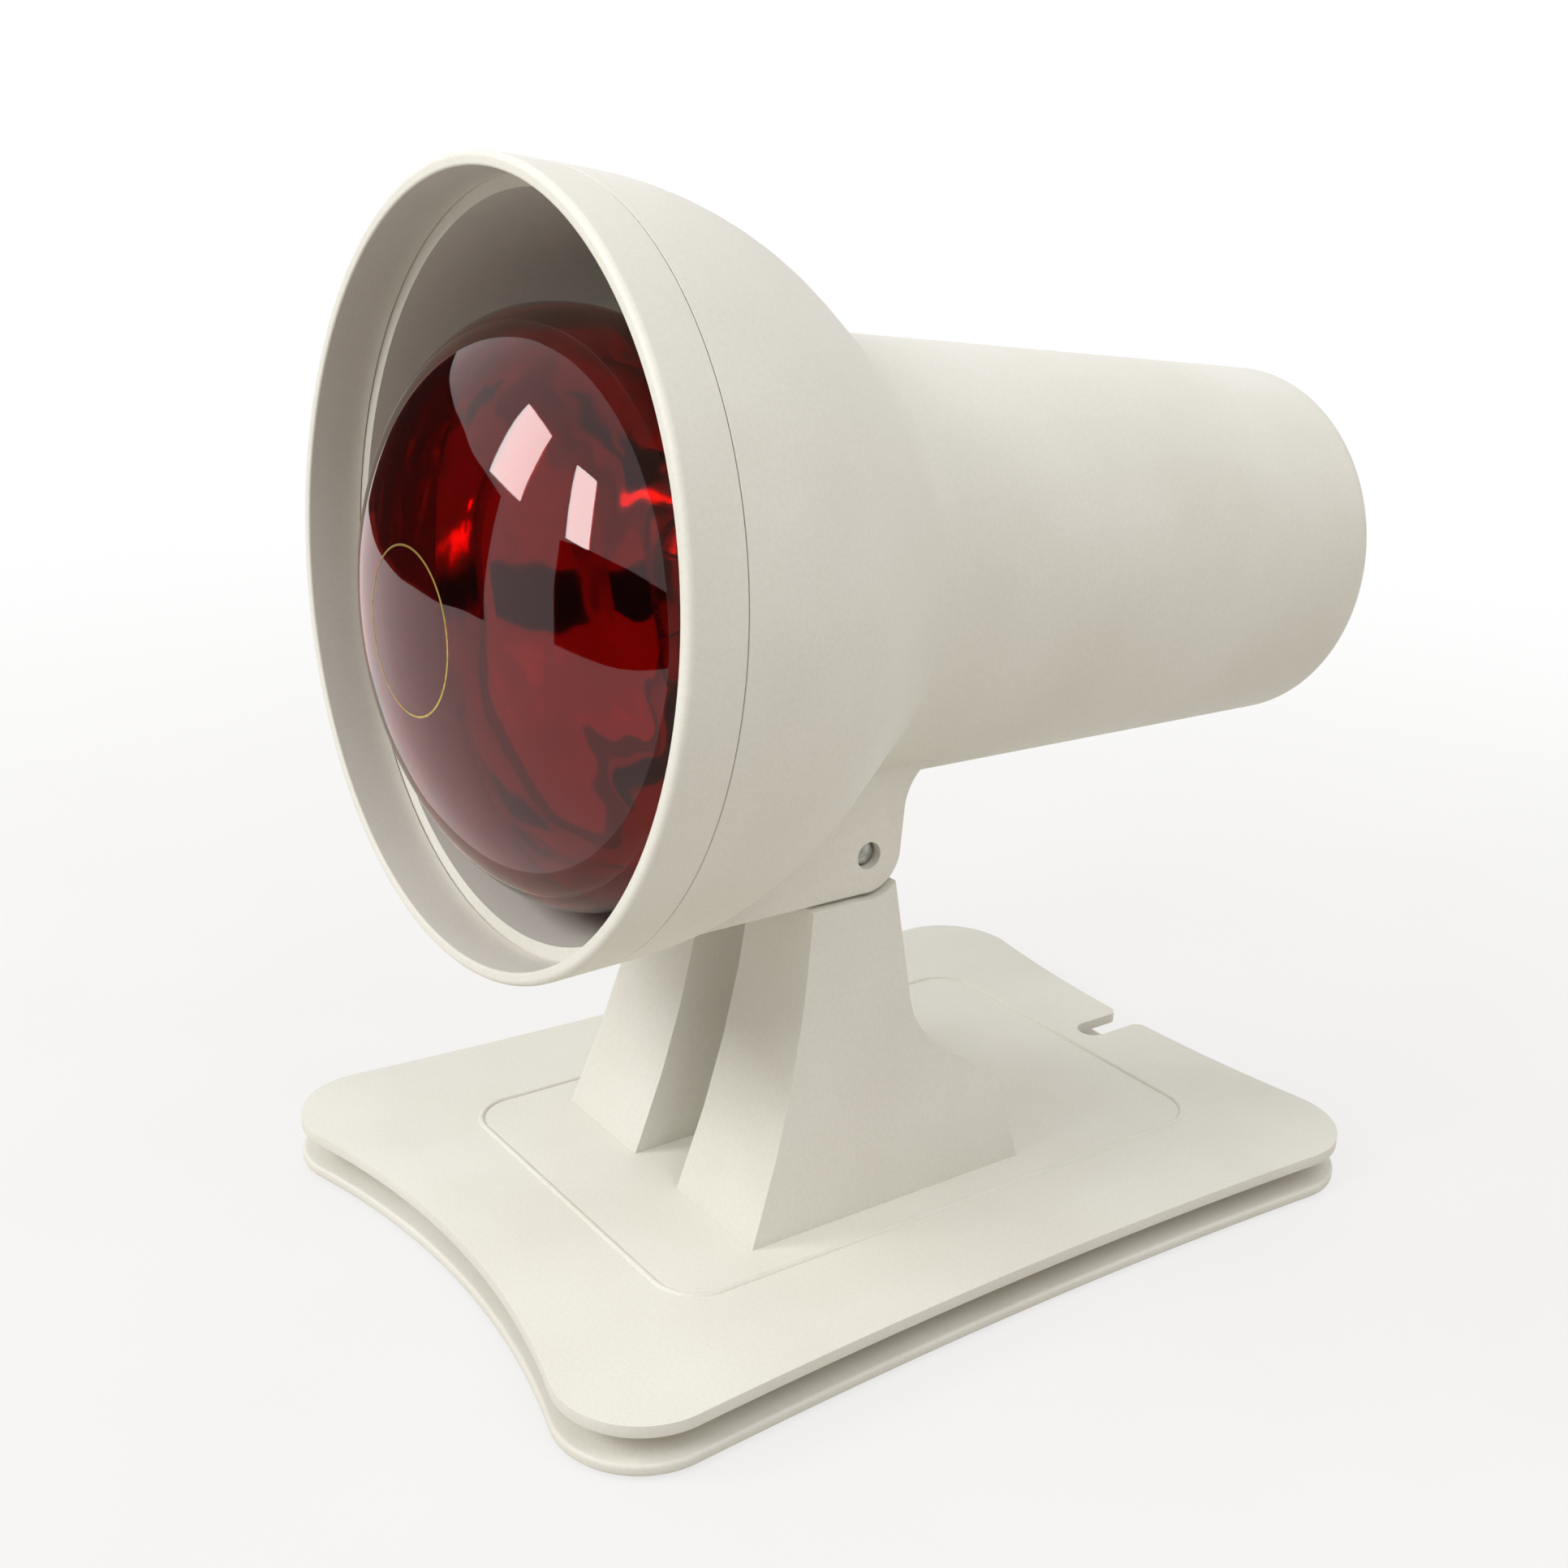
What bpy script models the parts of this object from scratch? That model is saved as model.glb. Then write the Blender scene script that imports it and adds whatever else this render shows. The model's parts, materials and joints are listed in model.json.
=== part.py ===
"""An infrared heat lamp that stands on a table.

A round plastic head holds a ruby reflector bulb and tilts on a steel rod between two
pylons. The pylons stand on a flat base of two plates, with a gap between them for
winding up the cord.

The frame is in metres with +Z up. The origin is on the standing plane, under the middle
of the base, and the head's mouth faces -Y. The lamp is symmetric about the plane x = 0.
"""
import math

import bmesh
import bpy
from mathutils import Vector

MM = 0.001

# Fits, cuts and facets
SEAT_GAP = 0.3 * MM
CUT_OVERRUN = 2.0 * MM
MERGE_DISTANCE = 0.005 * MM
ARC_STEP = math.radians(18.0)
LARGE_STEPS = 44
MEDIUM_STEPS = 24
SMALL_STEPS = 12

# The outline that both plates of the base share
FRONT_WIDTH = 123.8 * MM
REAR_WIDTH = 121.6 * MM
FRONT_REACH = 84.4 * MM
REAR_REACH = 84.3 * MM
CORNER_RADIUS = 14.5 * MM
FRONT_HOLLOW_RADIUS = 156.0 * MM
REAR_HOLLOW_RADIUS = 270.0 * MM
SIDE_HOLLOW_RADIUS = 1040.0 * MM
HOLLOW_STEPS = 8

# The base in height
FOOT_PROUD = 0.8 * MM
LOWER_THICKNESS = 2.1 * MM
WINDING_GAP = 4.9 * MM
UPPER_THICKNESS = 2.1 * MM
PLATE_EDGE_ROUND = 0.5 * MM

# The winding core, and the bead that shows its place on top
CORE_HALF_WIDTH = 37.6 * MM
CORE_FRONT = 56.7 * MM
CORE_REAR = 62.2 * MM
CORE_CORNER_RADIUS = 8.0 * MM
CORE_WALL = 2.0 * MM
BEAD_WIDTH = 1.2 * MM
BEAD_HEIGHT = 0.4 * MM

# The notch that holds the cord at the rear
NOTCH_WIDTH = 6.0 * MM
NOTCH_END_Y = 66.8 * MM
NOTCH_MOUTH_RADIUS = 2.2 * MM

# Feet, ballast and the screws of the base
FOOT_RADIUS = 5.0 * MM
FOOT_POCKET_DEPTH = 0.9 * MM
FOOT_EDGE_INSET = 15.5 * MM
BALLAST_THICKNESS = 2.4 * MM
BALLAST_SIDE_GAP = 8.5 * MM
BASE_BOSS_RADIUS = 3.2 * MM
SCREW_RADIUS = 1.3 * MM
SCREW_HEAD_RADIUS = 2.7 * MM
SCREW_HEAD_HEIGHT = 1.6 * MM
PYLON_SCREW_LENGTH = 10.0 * MM

# The pylons, with heights above the top plate
PYLON_GAP = 14.0 * MM
PYLON_FOOT_X = 30.7 * MM
PYLON_TOP_X = 24.8 * MM
PYLON_TOP_DROP = 7.5 * MM
PYLON_FRONT_FOOT_Y = -38.1 * MM
PYLON_FRONT_WAIST_Y = -27.2 * MM
PYLON_FRONT_WAIST_HEIGHT = 27.2 * MM
PYLON_FRONT_ROUND = 205.0 * MM
PYLON_FRONT_TOP_Y = -23.7 * MM
PYLON_REAR_FOOT_Y = 21.1 * MM
PYLON_KNEE_Y = 16.6 * MM
PYLON_KNEE_HEIGHT = 17.2 * MM
PYLON_KNEE_ROUND = 16.0 * MM
PYLON_WAIST_Y = -2.6 * MM
PYLON_WAIST_HEIGHT = 30.2 * MM
PYLON_WAIST_ROUND = 14.5 * MM
PYLON_REAR_TOP_Y = -6.4 * MM
PYLON_REAR_TOP_DROP = 5.1 * MM
PYLON_WALL = 2.4 * MM
PYLON_TOP_WALL = 3.4 * MM
PYLON_BOSS_RADIUS = 3.4 * MM
PYLON_BOSS_HEIGHT = 14.0 * MM
PYLON_FRONT_BOSS_SHARE = 0.55
PYLON_REAR_BOSS_SHARE = 0.3

# The hinge of the head
PIVOT_Y = -11.9 * MM
PIVOT_HEIGHT = 63.7 * MM
REST_TILT = math.radians(3.5)
ROD_RADIUS = 2.1 * MM
ROD_RECESS = 1.5 * MM
TONGUE_RADIUS = 5.7 * MM
WASHER_RADIUS = 4.9 * MM
WASHER_THICKNESS = 0.8 * MM
NEST_RADIUS = 7.7 * MM

# The ears under the head
EAR_OUTER_X = 23.9 * MM
EAR_WALL = 2.4 * MM
EAR_CORNER_RADIUS = 6.9 * MM
EAR_REACH = 42.0 * MM
EAR_STRAIGHT = 7.5 * MM
EAR_FILLET_RADIUS = 9.5 * MM

# The head: places are measured backwards from the plane of the rim, along the head's axis
RIM_AHEAD_OF_PIVOT = 64.5 * MM
AXIS_ABOVE_PIVOT = 45.0 * MM
RIM_RADIUS = 62.0 * MM
RIM_EDGE_ROUND = 1.0 * MM
RIM_WALL = 2.3 * MM
SEAM_PLACE = 9.8 * MM
LEDGE_WIDTH = 1.5 * MM
SHOULDER_PLACE = 32.8 * MM
SHOULDER_STEP = 2.6 * MM
SHOULDER_STRAIGHT = 6.33 * MM
CREASE_PLACE = 62.0 * MM
CREASE_RADIUS = 38.4 * MM
CREASE_ROUND = 4.0 * MM
REAR_PLACE = 172.0 * MM
REAR_RADIUS = 33.5 * MM
REAR_ROUND = 4.5 * MM
HOOD_WALL = 2.4 * MM

# The axis of the lampholder and the bulb: places are measured forwards from the bracket
SEAT_AHEAD_OF_REAR = 30.0 * MM
BULB_DROOP = math.radians(2.8)
BRACKET_HALF_WIDTH = 30.0 * MM
BRACKET_HALF_HEIGHT = 11.0 * MM
BRACKET_TAIL = 27.0 * MM
BRACKET_THICKNESS = 1.5 * MM
BRACKET_WINDOW_HALF_WIDTH = 10.2 * MM
BRACKET_WINDOW_HALF_HEIGHT = 5.0 * MM
BRACKET_SCREW_X = 26.0 * MM
BRACKET_BOSS_RADIUS = 3.6 * MM
HOLDER_RADIUS = 21.5 * MM
HOLDER_LENGTH = 46.0 * MM
HOLDER_BORE_RADIUS = 14.8 * MM
HOLDER_FLOOR = 18.0 * MM
HOLDER_RECESS_RADIUS = 16.0 * MM
HOLDER_RECESS_DEPTH = 8.0 * MM
HOLDER_SCREW_X = 18.7 * MM
HOLDER_SCREW_DEPTH = 9.0 * MM
SHELL_WALL = 0.7 * MM
SHELL_LENGTH = 24.0 * MM
CONTACT_RADIUS = 4.2 * MM
CONTACT_THICKNESS = 1.1 * MM
TERMINAL_X = 6.5 * MM
TERMINAL_WIDTH = 6.0 * MM
TERMINAL_HEIGHT = 8.0 * MM
TERMINAL_DEPTH = 3.0 * MM
TERMINAL_SCREW_RADIUS = 1.7 * MM

# The cord's way in, at the rear of the head
GLAND_DROP = 17.0 * MM
GLAND_FLANGE_RADIUS = 7.0 * MM
GLAND_BODY_RADIUS = 5.2 * MM
GLAND_BORE_RADIUS = 3.3 * MM
GLAND_FLANGE_THICKNESS = 1.6 * MM
CLAMP_HALF_WIDTH = 11.5 * MM
CLAMP_HEIGHT = 7.0 * MM
CLAMP_DEPTH = 5.5 * MM
CLAMP_GROOVE_RADIUS = 2.9 * MM
CLAMP_SCREW_X = 7.5 * MM
LEAD_RADIUS = 0.8 * MM
LEAD_SPACING = 1.1 * MM

# The bulb, which is 95 mm wide: places are measured forwards from the bracket too
CAP_TIP_PLACE = 20.0 * MM
BULB_LENGTH = 132.0 * MM
BULB_CLEARANCE = 14.5 * MM
DOME_DEPTH = 26.7 * MM
BULB_SHOULDER_DEPTH = 34.0 * MM
BULB_WAIST_STRAIGHT = 0.84 * MM
NECK_START_DEPTH = 84.0 * MM
NECK_START_RADIUS = 17.0 * MM
NECK_START_ROUND = 18.0 * MM
NECK_END_DEPTH = 103.5 * MM
NECK_END_RADIUS = 15.4 * MM
NECK_PLUG_DEPTH = 106.0 * MM
NECK_PLUG_LENGTH = 3.5 * MM
NECK_ROUND = 1.6 * MM
GLASS_WALL = 0.9 * MM
CAP_RADIUS = 13.1 * MM
CAP_WALL = 0.6 * MM
CAP_START_PLACE = 25.0 * MM
CAP_END_PLACE = 44.8 * MM
INSULATOR_TIP_RADIUS = 5.2 * MM
STEM_RADIUS = 3.6 * MM
STEM_TIP_PLACE = 82.0 * MM
FILAMENT_PLACE = 100.0 * MM
FILAMENT_RING_RADIUS = 13.0 * MM
FILAMENT_RADIUS = 0.7 * MM
FILAMENT_SWEEP = math.radians(270.0)
SUPPORT_COUNT = 5
SUPPORT_WIRE_RADIUS = 0.4 * MM

# What the values above give
PLATE_TOP = FOOT_PROUD + LOWER_THICKNESS + WINDING_GAP + UPPER_THICKNESS
UPPER_UNDERSIDE = PLATE_TOP - UPPER_THICKNESS
LOWER_TOP = FOOT_PROUD + LOWER_THICKNESS
PIVOT_Z = PLATE_TOP + PIVOT_HEIGHT
EAR_INNER_X = EAR_OUTER_X - EAR_WALL
ROD_HOLE_RADIUS = ROD_RADIUS + SEAT_GAP
SCREW_HOLE_RADIUS = SCREW_RADIUS + SEAT_GAP
BULB_POLE_PLACE = CAP_TIP_PLACE + BULB_LENGTH
SHELL_INNER_RADIUS = CAP_RADIUS + SEAT_GAP
SEAT_PLACE = REAR_PLACE - SEAT_AHEAD_OF_REAR
PYLON_TOP_HEIGHT = PIVOT_HEIGHT - PYLON_TOP_DROP
PYLON_REAR_TOP_HEIGHT = PIVOT_HEIGHT - PYLON_REAR_TOP_DROP

# The rim's size gives the shoulder of the hood and its rounding
SHOULDER_RADIUS = RIM_RADIUS - SHOULDER_STEP
RIM_SLOPE = SHOULDER_STEP / SHOULDER_PLACE
BOWL_ANGLE = math.atan2(SHOULDER_RADIUS - CREASE_RADIUS, CREASE_PLACE - SHOULDER_PLACE)
SHOULDER_TURN = BOWL_ANGLE - math.atan(RIM_SLOPE)
SHOULDER_LENGTH = (SHOULDER_PLACE - SEAM_PLACE) * math.hypot(1.0, RIM_SLOPE)
SHOULDER_ROUND = (SHOULDER_LENGTH - SHOULDER_STRAIGHT) / math.tan(SHOULDER_TURN / 2.0)

# The rim's size gives the bulb that fits in it, and the rounding of its widest place
BULB_RADIUS = RIM_RADIUS - BULB_CLEARANCE
BULB_TURN = math.atan2(BULB_RADIUS - NECK_START_RADIUS, NECK_START_DEPTH - BULB_SHOULDER_DEPTH)
BULB_WAIST = BULB_SHOULDER_DEPTH - DOME_DEPTH - BULB_WAIST_STRAIGHT
BULB_SHOULDER_ROUND = BULB_WAIST / math.tan(BULB_TURN / 2.0)


def clear_scene():
    """Remove the objects that the scene starts with."""
    for item in list(bpy.data.objects):
        bpy.data.objects.remove(item, do_unlink=True)


def new_collection(name):
    collection = bpy.data.collections.new(name)
    bpy.context.scene.collection.children.link(collection)
    return collection


def new_material(name, color, roughness, metallic=0.0):
    material = bpy.data.materials.new(name)
    material.use_nodes = True
    shader = material.node_tree.nodes["Principled BSDF"]
    shader.inputs["Base Color"].default_value = (*color, 1.0)
    shader.inputs["Roughness"].default_value = roughness
    shader.inputs["Metallic"].default_value = metallic
    material.diffuse_color = (*color, 1.0)
    return material


def new_empty(name, location, tilt, parent=None):
    """An empty on a joint's axis, turned about X by the tilt."""
    empty = bpy.data.objects.new(name, None)
    empty.location = location
    empty.rotation_euler = (tilt, 0.0, 0.0)
    empty.parent = parent
    PARTS.objects.link(empty)
    return empty


def arc(centre, radius, start, end, steps):
    """Points on an arc about a centre in the plane, both ends included."""
    angles = [start + (end - start) * i / steps for i in range(steps + 1)]
    return [(centre[0] + radius * math.cos(a), centre[1] + radius * math.sin(a)) for a in angles]


def rounded(corners, closed=False):
    """The points of a path of (x, y, radius) corners, with an arc at each corner."""
    points = []
    for i, (x, y, radius) in enumerate(corners):
        here = Vector((x, y))
        is_end = not closed and i in (0, len(corners) - 1)
        if is_end or radius <= 0.0:
            points.append((x, y))
            continue
        back = (Vector(corners[i - 1][:2]) - here).normalized()
        ahead = (Vector(corners[(i + 1) % len(corners)][:2]) - here).normalized()
        half = back.angle(ahead) / 2.0
        reach = radius / math.tan(half)
        centre = here + (back + ahead).normalized() * radius / math.sin(half)
        first = here + back * reach - centre
        last = here + ahead * reach - centre
        start = math.atan2(first.y, first.x)
        turn = math.atan2(first.x * last.y - first.y * last.x, first.dot(last))
        steps = max(2, round(abs(turn) / ARC_STEP))
        points += arc(centre, radius, start, start + turn, steps)
    return points


def shifted(corners, distance):
    """A path's corners moved to its right-hand side by a distance, with their arcs to match."""
    moved = []
    last = len(corners) - 1
    for i, (x, y, radius) in enumerate(corners):
        here = Vector((x, y))
        back = (here - Vector(corners[i - 1][:2])).normalized() if i > 0 else None
        ahead = (Vector(corners[i + 1][:2]) - here).normalized() if i < last else None
        into = back or ahead
        out = ahead or back
        normal = (Vector((into.y, -into.x)) + Vector((out.y, -out.x))).normalized()
        scale = normal.dot(Vector((into.y, -into.x)))
        turns_right = into.x * out.y - into.y * out.x < 0.0
        new_radius = radius - distance if turns_right else radius + distance
        place = here + normal * distance / scale
        moved.append((place.x, place.y, max(0.0, new_radius) if radius > 0.0 else 0.0))
    return moved


def finish(item, material, collection, parent=None):
    """Put an object in its collection, with its material and parent."""
    item.data.materials.clear()
    if material is not None:
        item.data.materials.append(material)
    item.parent = parent
    for old in list(item.users_collection):
        old.objects.unlink(item)
    collection.objects.link(item)
    if collection is CUTTERS:
        item.hide_render = True
        item.display_type = "WIRE"
    return item


def smooth(item):
    """Shade a round piece smooth, and keep its sharp edges."""
    item.data.shade_smooth()
    item.data.set_sharp_from_angle(angle=math.radians(35.0))
    return item


def mesh_object(name, bm):
    mesh = bpy.data.meshes.new(name)
    bm.to_mesh(mesh)
    bm.free()
    return bpy.data.objects.new(name, mesh)


def turned(name, profile, steps):
    """A turned solid from (depth, radius) points, run from the front or top to the back.

    The profile lies at +X and depth runs along -Z. A profile that starts and ends off the
    axis is closed into a ring.
    """
    bm = bmesh.new()
    verts = [bm.verts.new((radius, 0.0, -depth)) for depth, radius in profile]
    for first, second in zip(verts, verts[1:]):
        bm.edges.new((first, second))
    if profile[0][1] > 0.0 and profile[-1][1] > 0.0:
        bm.edges.new((verts[-1], verts[0]))
    item = mesh_object(name, bm)
    screw = item.modifiers.new("turn", "SCREW")
    screw.axis = "Z"
    screw.steps = steps
    screw.render_steps = steps
    screw.use_merge_vertices = True
    screw.merge_threshold = MERGE_DISTANCE
    screw.use_smooth_shade = True
    return item


def along_head(item, place, drop=0.0):
    """Lay a turned piece along the head's axis, its top at a place behind the rim."""
    item.location = (0.0, place - RIM_AHEAD_OF_PIVOT, AXIS_ABOVE_PIVOT - drop)
    item.rotation_euler = (math.pi / 2.0, 0.0, 0.0)
    return item


def along_bulb(item, place, x=0.0, z=0.0):
    """Lay a turned piece along the bulb's axis, its top at a place ahead of the bracket."""
    item.location = (x, -place, z)
    item.rotation_euler = (math.pi / 2.0, 0.0, 0.0)
    return item


def baked(item):
    """A mesh object in the place of a curve object, with its caps welded on."""
    bpy.context.scene.collection.objects.link(item)
    bpy.context.view_layer.update()
    graph = bpy.context.evaluated_depsgraph_get()
    mesh = bpy.data.meshes.new_from_object(item.evaluated_get(graph))
    bm = bmesh.new()
    bm.from_mesh(mesh)
    bmesh.ops.remove_doubles(bm, verts=bm.verts, dist=MERGE_DISTANCE)
    bmesh.ops.recalc_face_normals(bm, faces=bm.faces)
    bm.to_mesh(mesh)
    bm.free()
    name = item.name
    curve = item.data
    matrix = item.matrix_world.copy()
    bpy.data.objects.remove(item)
    bpy.data.curves.remove(curve)
    result = bpy.data.objects.new(name, mesh)
    result.matrix_world = matrix
    return result


def flat_piece(name, loops, thickness):
    """A flat piece from closed loops of points, centred on z = 0. Inner loops are holes."""
    curve = bpy.data.curves.new(name, "CURVE")
    curve.dimensions = "2D"
    curve.fill_mode = "BOTH"
    curve.extrude = thickness / 2.0
    for loop in loops:
        spline = curve.splines.new("POLY")
        spline.points.add(len(loop) - 1)
        for point, (x, y) in zip(spline.points, loop):
            point.co = (x, y, 0.0, 1.0)
        spline.use_cyclic_u = True
    return baked(bpy.data.objects.new(name, curve))


def lay_flat(name, loops, bottom, top):
    """A flat piece that lies between two heights."""
    item = flat_piece(name, loops, top - bottom)
    item.location.z = (bottom + top) / 2.0
    return item


def side_piece(name, loop, x_start, x_end):
    """A prism along X, from an outline given as (y, z) points."""
    item = flat_piece(name, [loop], abs(x_end - x_start))
    item.location.x = (x_start + x_end) / 2.0
    item.rotation_euler = (math.pi / 2.0, 0.0, math.pi / 2.0)
    return item


def wire(name, path, radius, cyclic=False):
    """A round wire along 3D points."""
    curve = bpy.data.curves.new(name, "CURVE")
    curve.dimensions = "3D"
    curve.bevel_depth = radius
    curve.bevel_resolution = 1
    curve.use_fill_caps = True
    spline = curve.splines.new("POLY")
    spline.points.add(len(path) - 1)
    for point, place in zip(spline.points, path):
        point.co = (*place, 1.0)
    spline.use_cyclic_u = cyclic
    return baked(bpy.data.objects.new(name, curve))


def box(name, low, high):
    """A box between two corners."""
    bm = bmesh.new()
    bmesh.ops.create_cube(bm, size=1.0)
    low = Vector(low)
    high = Vector(high)
    size = high - low
    bmesh.ops.scale(bm, vec=size, verts=bm.verts)
    bmesh.ops.translate(bm, vec=(low + high) / 2.0, verts=bm.verts)
    return mesh_object(name, bm)


def cylinder(name, radius, bottom, top, steps=SMALL_STEPS, top_radius=None):
    """An upright cylinder, or a cone with another radius at its top."""
    bm = bmesh.new()
    upper = radius if top_radius is None else top_radius
    depth = top - bottom
    bmesh.ops.create_cone(
        bm, cap_ends=True, segments=steps, radius1=radius, radius2=upper, depth=depth
    )
    bmesh.ops.translate(bm, vec=(0.0, 0.0, bottom + depth / 2.0), verts=bm.verts)
    return mesh_object(name, bm)


def cross_cylinder(name, radius, x_start, x_end, steps=SMALL_STEPS):
    """A cylinder along X."""
    item = cylinder(name, radius, x_start, x_end, steps)
    item.rotation_euler = (0.0, math.pi / 2.0, 0.0)
    return item


def change(target, tool, operation, parent=None):
    """Cut a tool out of a target, or join it on, with the tool kept as a hidden cutter."""
    finish(tool, None, CUTTERS, parent)
    boolean = target.modifiers.new(tool.name, "BOOLEAN")
    boolean.object = tool
    boolean.operation = operation
    boolean.solver = "EXACT"


def finish_each(name, items, material, parent=None):
    """Finish the copies of a repeated piece, each as an object of its own with a number."""
    for number, item in enumerate(items, 1):
        item.name = f"{name}_{number}"
        item.data.name = item.name
        finish(item, material, PARTS, parent)


def soften(item, width, angle=35.0):
    """Round the sharp edges of a piece."""
    bevel = item.modifiers.new("soften", "BEVEL")
    bevel.width = width
    bevel.segments = 1
    bevel.limit_method = "ANGLE"
    bevel.angle_limit = math.radians(angle)
    return item


def base_outline():
    """The outline of the plates: four round corners joined by four long hollow arcs."""
    front = (FRONT_WIDTH / 2.0 - CORNER_RADIUS, CORNER_RADIUS - FRONT_REACH)
    rear = (REAR_WIDTH / 2.0 - CORNER_RADIUS, REAR_REACH - CORNER_RADIUS)
    corners = [front, rear, (-rear[0], rear[1]), (-front[0], front[1])]
    hollows = [SIDE_HOLLOW_RADIUS, REAR_HOLLOW_RADIUS, SIDE_HOLLOW_RADIUS, FRONT_HOLLOW_RADIUS]
    centres = []
    for i, hollow in enumerate(hollows):
        start = Vector(corners[i])
        span = Vector(corners[(i + 1) % 4]) - start
        outward = Vector((span.y, -span.x)).normalized()
        reach = math.sqrt((hollow + CORNER_RADIUS) ** 2 - (span.length / 2.0) ** 2)
        centres.append(start + span / 2.0 + outward * reach)
    points = []
    for i, corner in enumerate(corners):
        to_last = centres[i - 1] - Vector(corner)
        to_next = centres[i] - Vector(corner)
        start = math.atan2(to_last.y, to_last.x)
        turn = (math.atan2(to_next.y, to_next.x) - start) % math.tau
        steps = max(4, round(turn / ARC_STEP))
        points += arc(corner, CORNER_RADIUS, start, start + turn, steps)
        first = Vector(corner) - centres[i]
        last = Vector(corners[(i + 1) % 4]) - centres[i]
        start = math.atan2(first.y, first.x)
        turn = math.atan2(first.x * last.y - first.y * last.x, first.dot(last))
        points += arc(centres[i], hollows[i], start, start + turn, HOLLOW_STEPS)[1:-1]
    return points


def core_outline(grow):
    """The rounded rectangle of the winding core, grown outwards by a distance."""
    half = CORE_HALF_WIDTH + grow
    front = -CORE_FRONT - grow
    rear = CORE_REAR + grow
    radius = CORE_CORNER_RADIUS + grow
    corners = [(half, front), (half, rear), (-half, rear), (-half, front)]
    return rounded([(x, y, radius) for x, y in corners], closed=True)


def foot_places():
    x_front = FRONT_WIDTH / 2.0 - FOOT_EDGE_INSET
    x_rear = REAR_WIDTH / 2.0 - FOOT_EDGE_INSET
    y_front = FOOT_EDGE_INSET - FRONT_REACH
    y_rear = REAR_REACH - FOOT_EDGE_INSET
    return [(side * x, y) for x, y in ((x_front, y_front), (x_rear, y_rear)) for side in (-1, 1)]


def base_screw_places():
    """Inside the four corners of the winding core, clear of its wall."""
    inset = CORE_WALL / 2.0 + SEAT_GAP + BASE_BOSS_RADIUS
    x = CORE_HALF_WIDTH - inset
    y_front = CORE_CORNER_RADIUS - CORE_FRONT
    y_rear = CORE_REAR - CORE_CORNER_RADIUS
    return [(side * x, y) for y in (y_front, y_rear) for side in (-1, 1)]


def pylon_screw_places(side):
    """Two bosses of a pylon, grown onto its inner wall."""
    x = PYLON_GAP / 2.0 + PYLON_WALL + PYLON_BOSS_RADIUS - SCREW_RADIUS
    y_front = PYLON_FRONT_FOOT_Y * PYLON_FRONT_BOSS_SHARE
    y_rear = PYLON_REAR_FOOT_Y * PYLON_REAR_BOSS_SHARE
    return [(side * x, y_front), (side * x, y_rear)]


def make_plates():
    """The two plates, with the bead and the cord notch in the upper one."""
    outline = base_outline()
    upper = lay_flat("base_top_plate", [outline], UPPER_UNDERSIDE, PLATE_TOP)
    soften(finish(upper, IVORY, PARTS), PLATE_EDGE_ROUND)
    half = BEAD_WIDTH / 2.0
    bead_low = PLATE_TOP - UPPER_THICKNESS / 2.0
    bead_loops = [core_outline(half), core_outline(-half)]
    change(upper, lay_flat("bead", bead_loops, bead_low, PLATE_TOP + BEAD_HEIGHT), "UNION")
    low = UPPER_UNDERSIDE - CUT_OVERRUN
    high = PLATE_TOP + CUT_OVERRUN
    change(upper, lay_flat("cord_notch", [notch_outline()], low, high), "DIFFERENCE")
    for number, (x, y) in enumerate(pylon_screw_places(1) + pylon_screw_places(-1)):
        hole = cylinder(f"pylon_screw_hole_{number}", SCREW_HOLE_RADIUS, low, high)
        hole.location = (x, y, 0.0)
        change(upper, hole, "DIFFERENCE")

    lower = lay_flat("base_bottom_plate", [outline], FOOT_PROUD, LOWER_TOP)
    soften(finish(lower, IVORY_DEEP, PARTS), PLATE_EDGE_ROUND)
    for number, (x, y) in enumerate(foot_places()):
        radius = FOOT_RADIUS + SEAT_GAP
        pocket_top = FOOT_PROUD + FOOT_POCKET_DEPTH
        pocket = cylinder(f"foot_pocket_{number}", radius, -CUT_OVERRUN, pocket_top)
        pocket.location = (x, y, 0.0)
        change(lower, pocket, "DIFFERENCE")
    for number, (x, y) in enumerate(base_screw_places()):
        sink = base_screw(SEAT_GAP, CUT_OVERRUN)
        sink.name = f"base_screw_sink_{number}"
        sink.location = (x, y, 0.0)
        change(lower, sink, "DIFFERENCE")


def notch_outline():
    """A slot with a round end, whose mouth opens out in two quarter rounds."""
    half = NOTCH_WIDTH / 2.0
    mouth_y = REAR_REACH + CUT_OVERRUN
    hollow_rise = math.sqrt(REAR_HOLLOW_RADIUS**2 - half**2)
    corner_y = REAR_REACH - CORNER_RADIUS
    corner_x = REAR_WIDTH / 2.0 - CORNER_RADIUS
    hollow_y = corner_y + math.sqrt((REAR_HOLLOW_RADIUS + CORNER_RADIUS) ** 2 - corner_x**2)
    edge_y = hollow_y - hollow_rise
    round_y = edge_y - NOTCH_MOUTH_RADIUS
    right = arc((half + NOTCH_MOUTH_RADIUS, round_y), NOTCH_MOUTH_RADIUS, math.pi, math.pi / 2, 4)
    end = arc((0.0, NOTCH_END_Y + half), half, math.pi, math.tau, 8)
    left = [(-x, y) for x, y in reversed(right)]
    top = [(half + NOTCH_MOUTH_RADIUS, mouth_y), (-half - NOTCH_MOUTH_RADIUS, mouth_y)]
    return end + right + top + left


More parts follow.
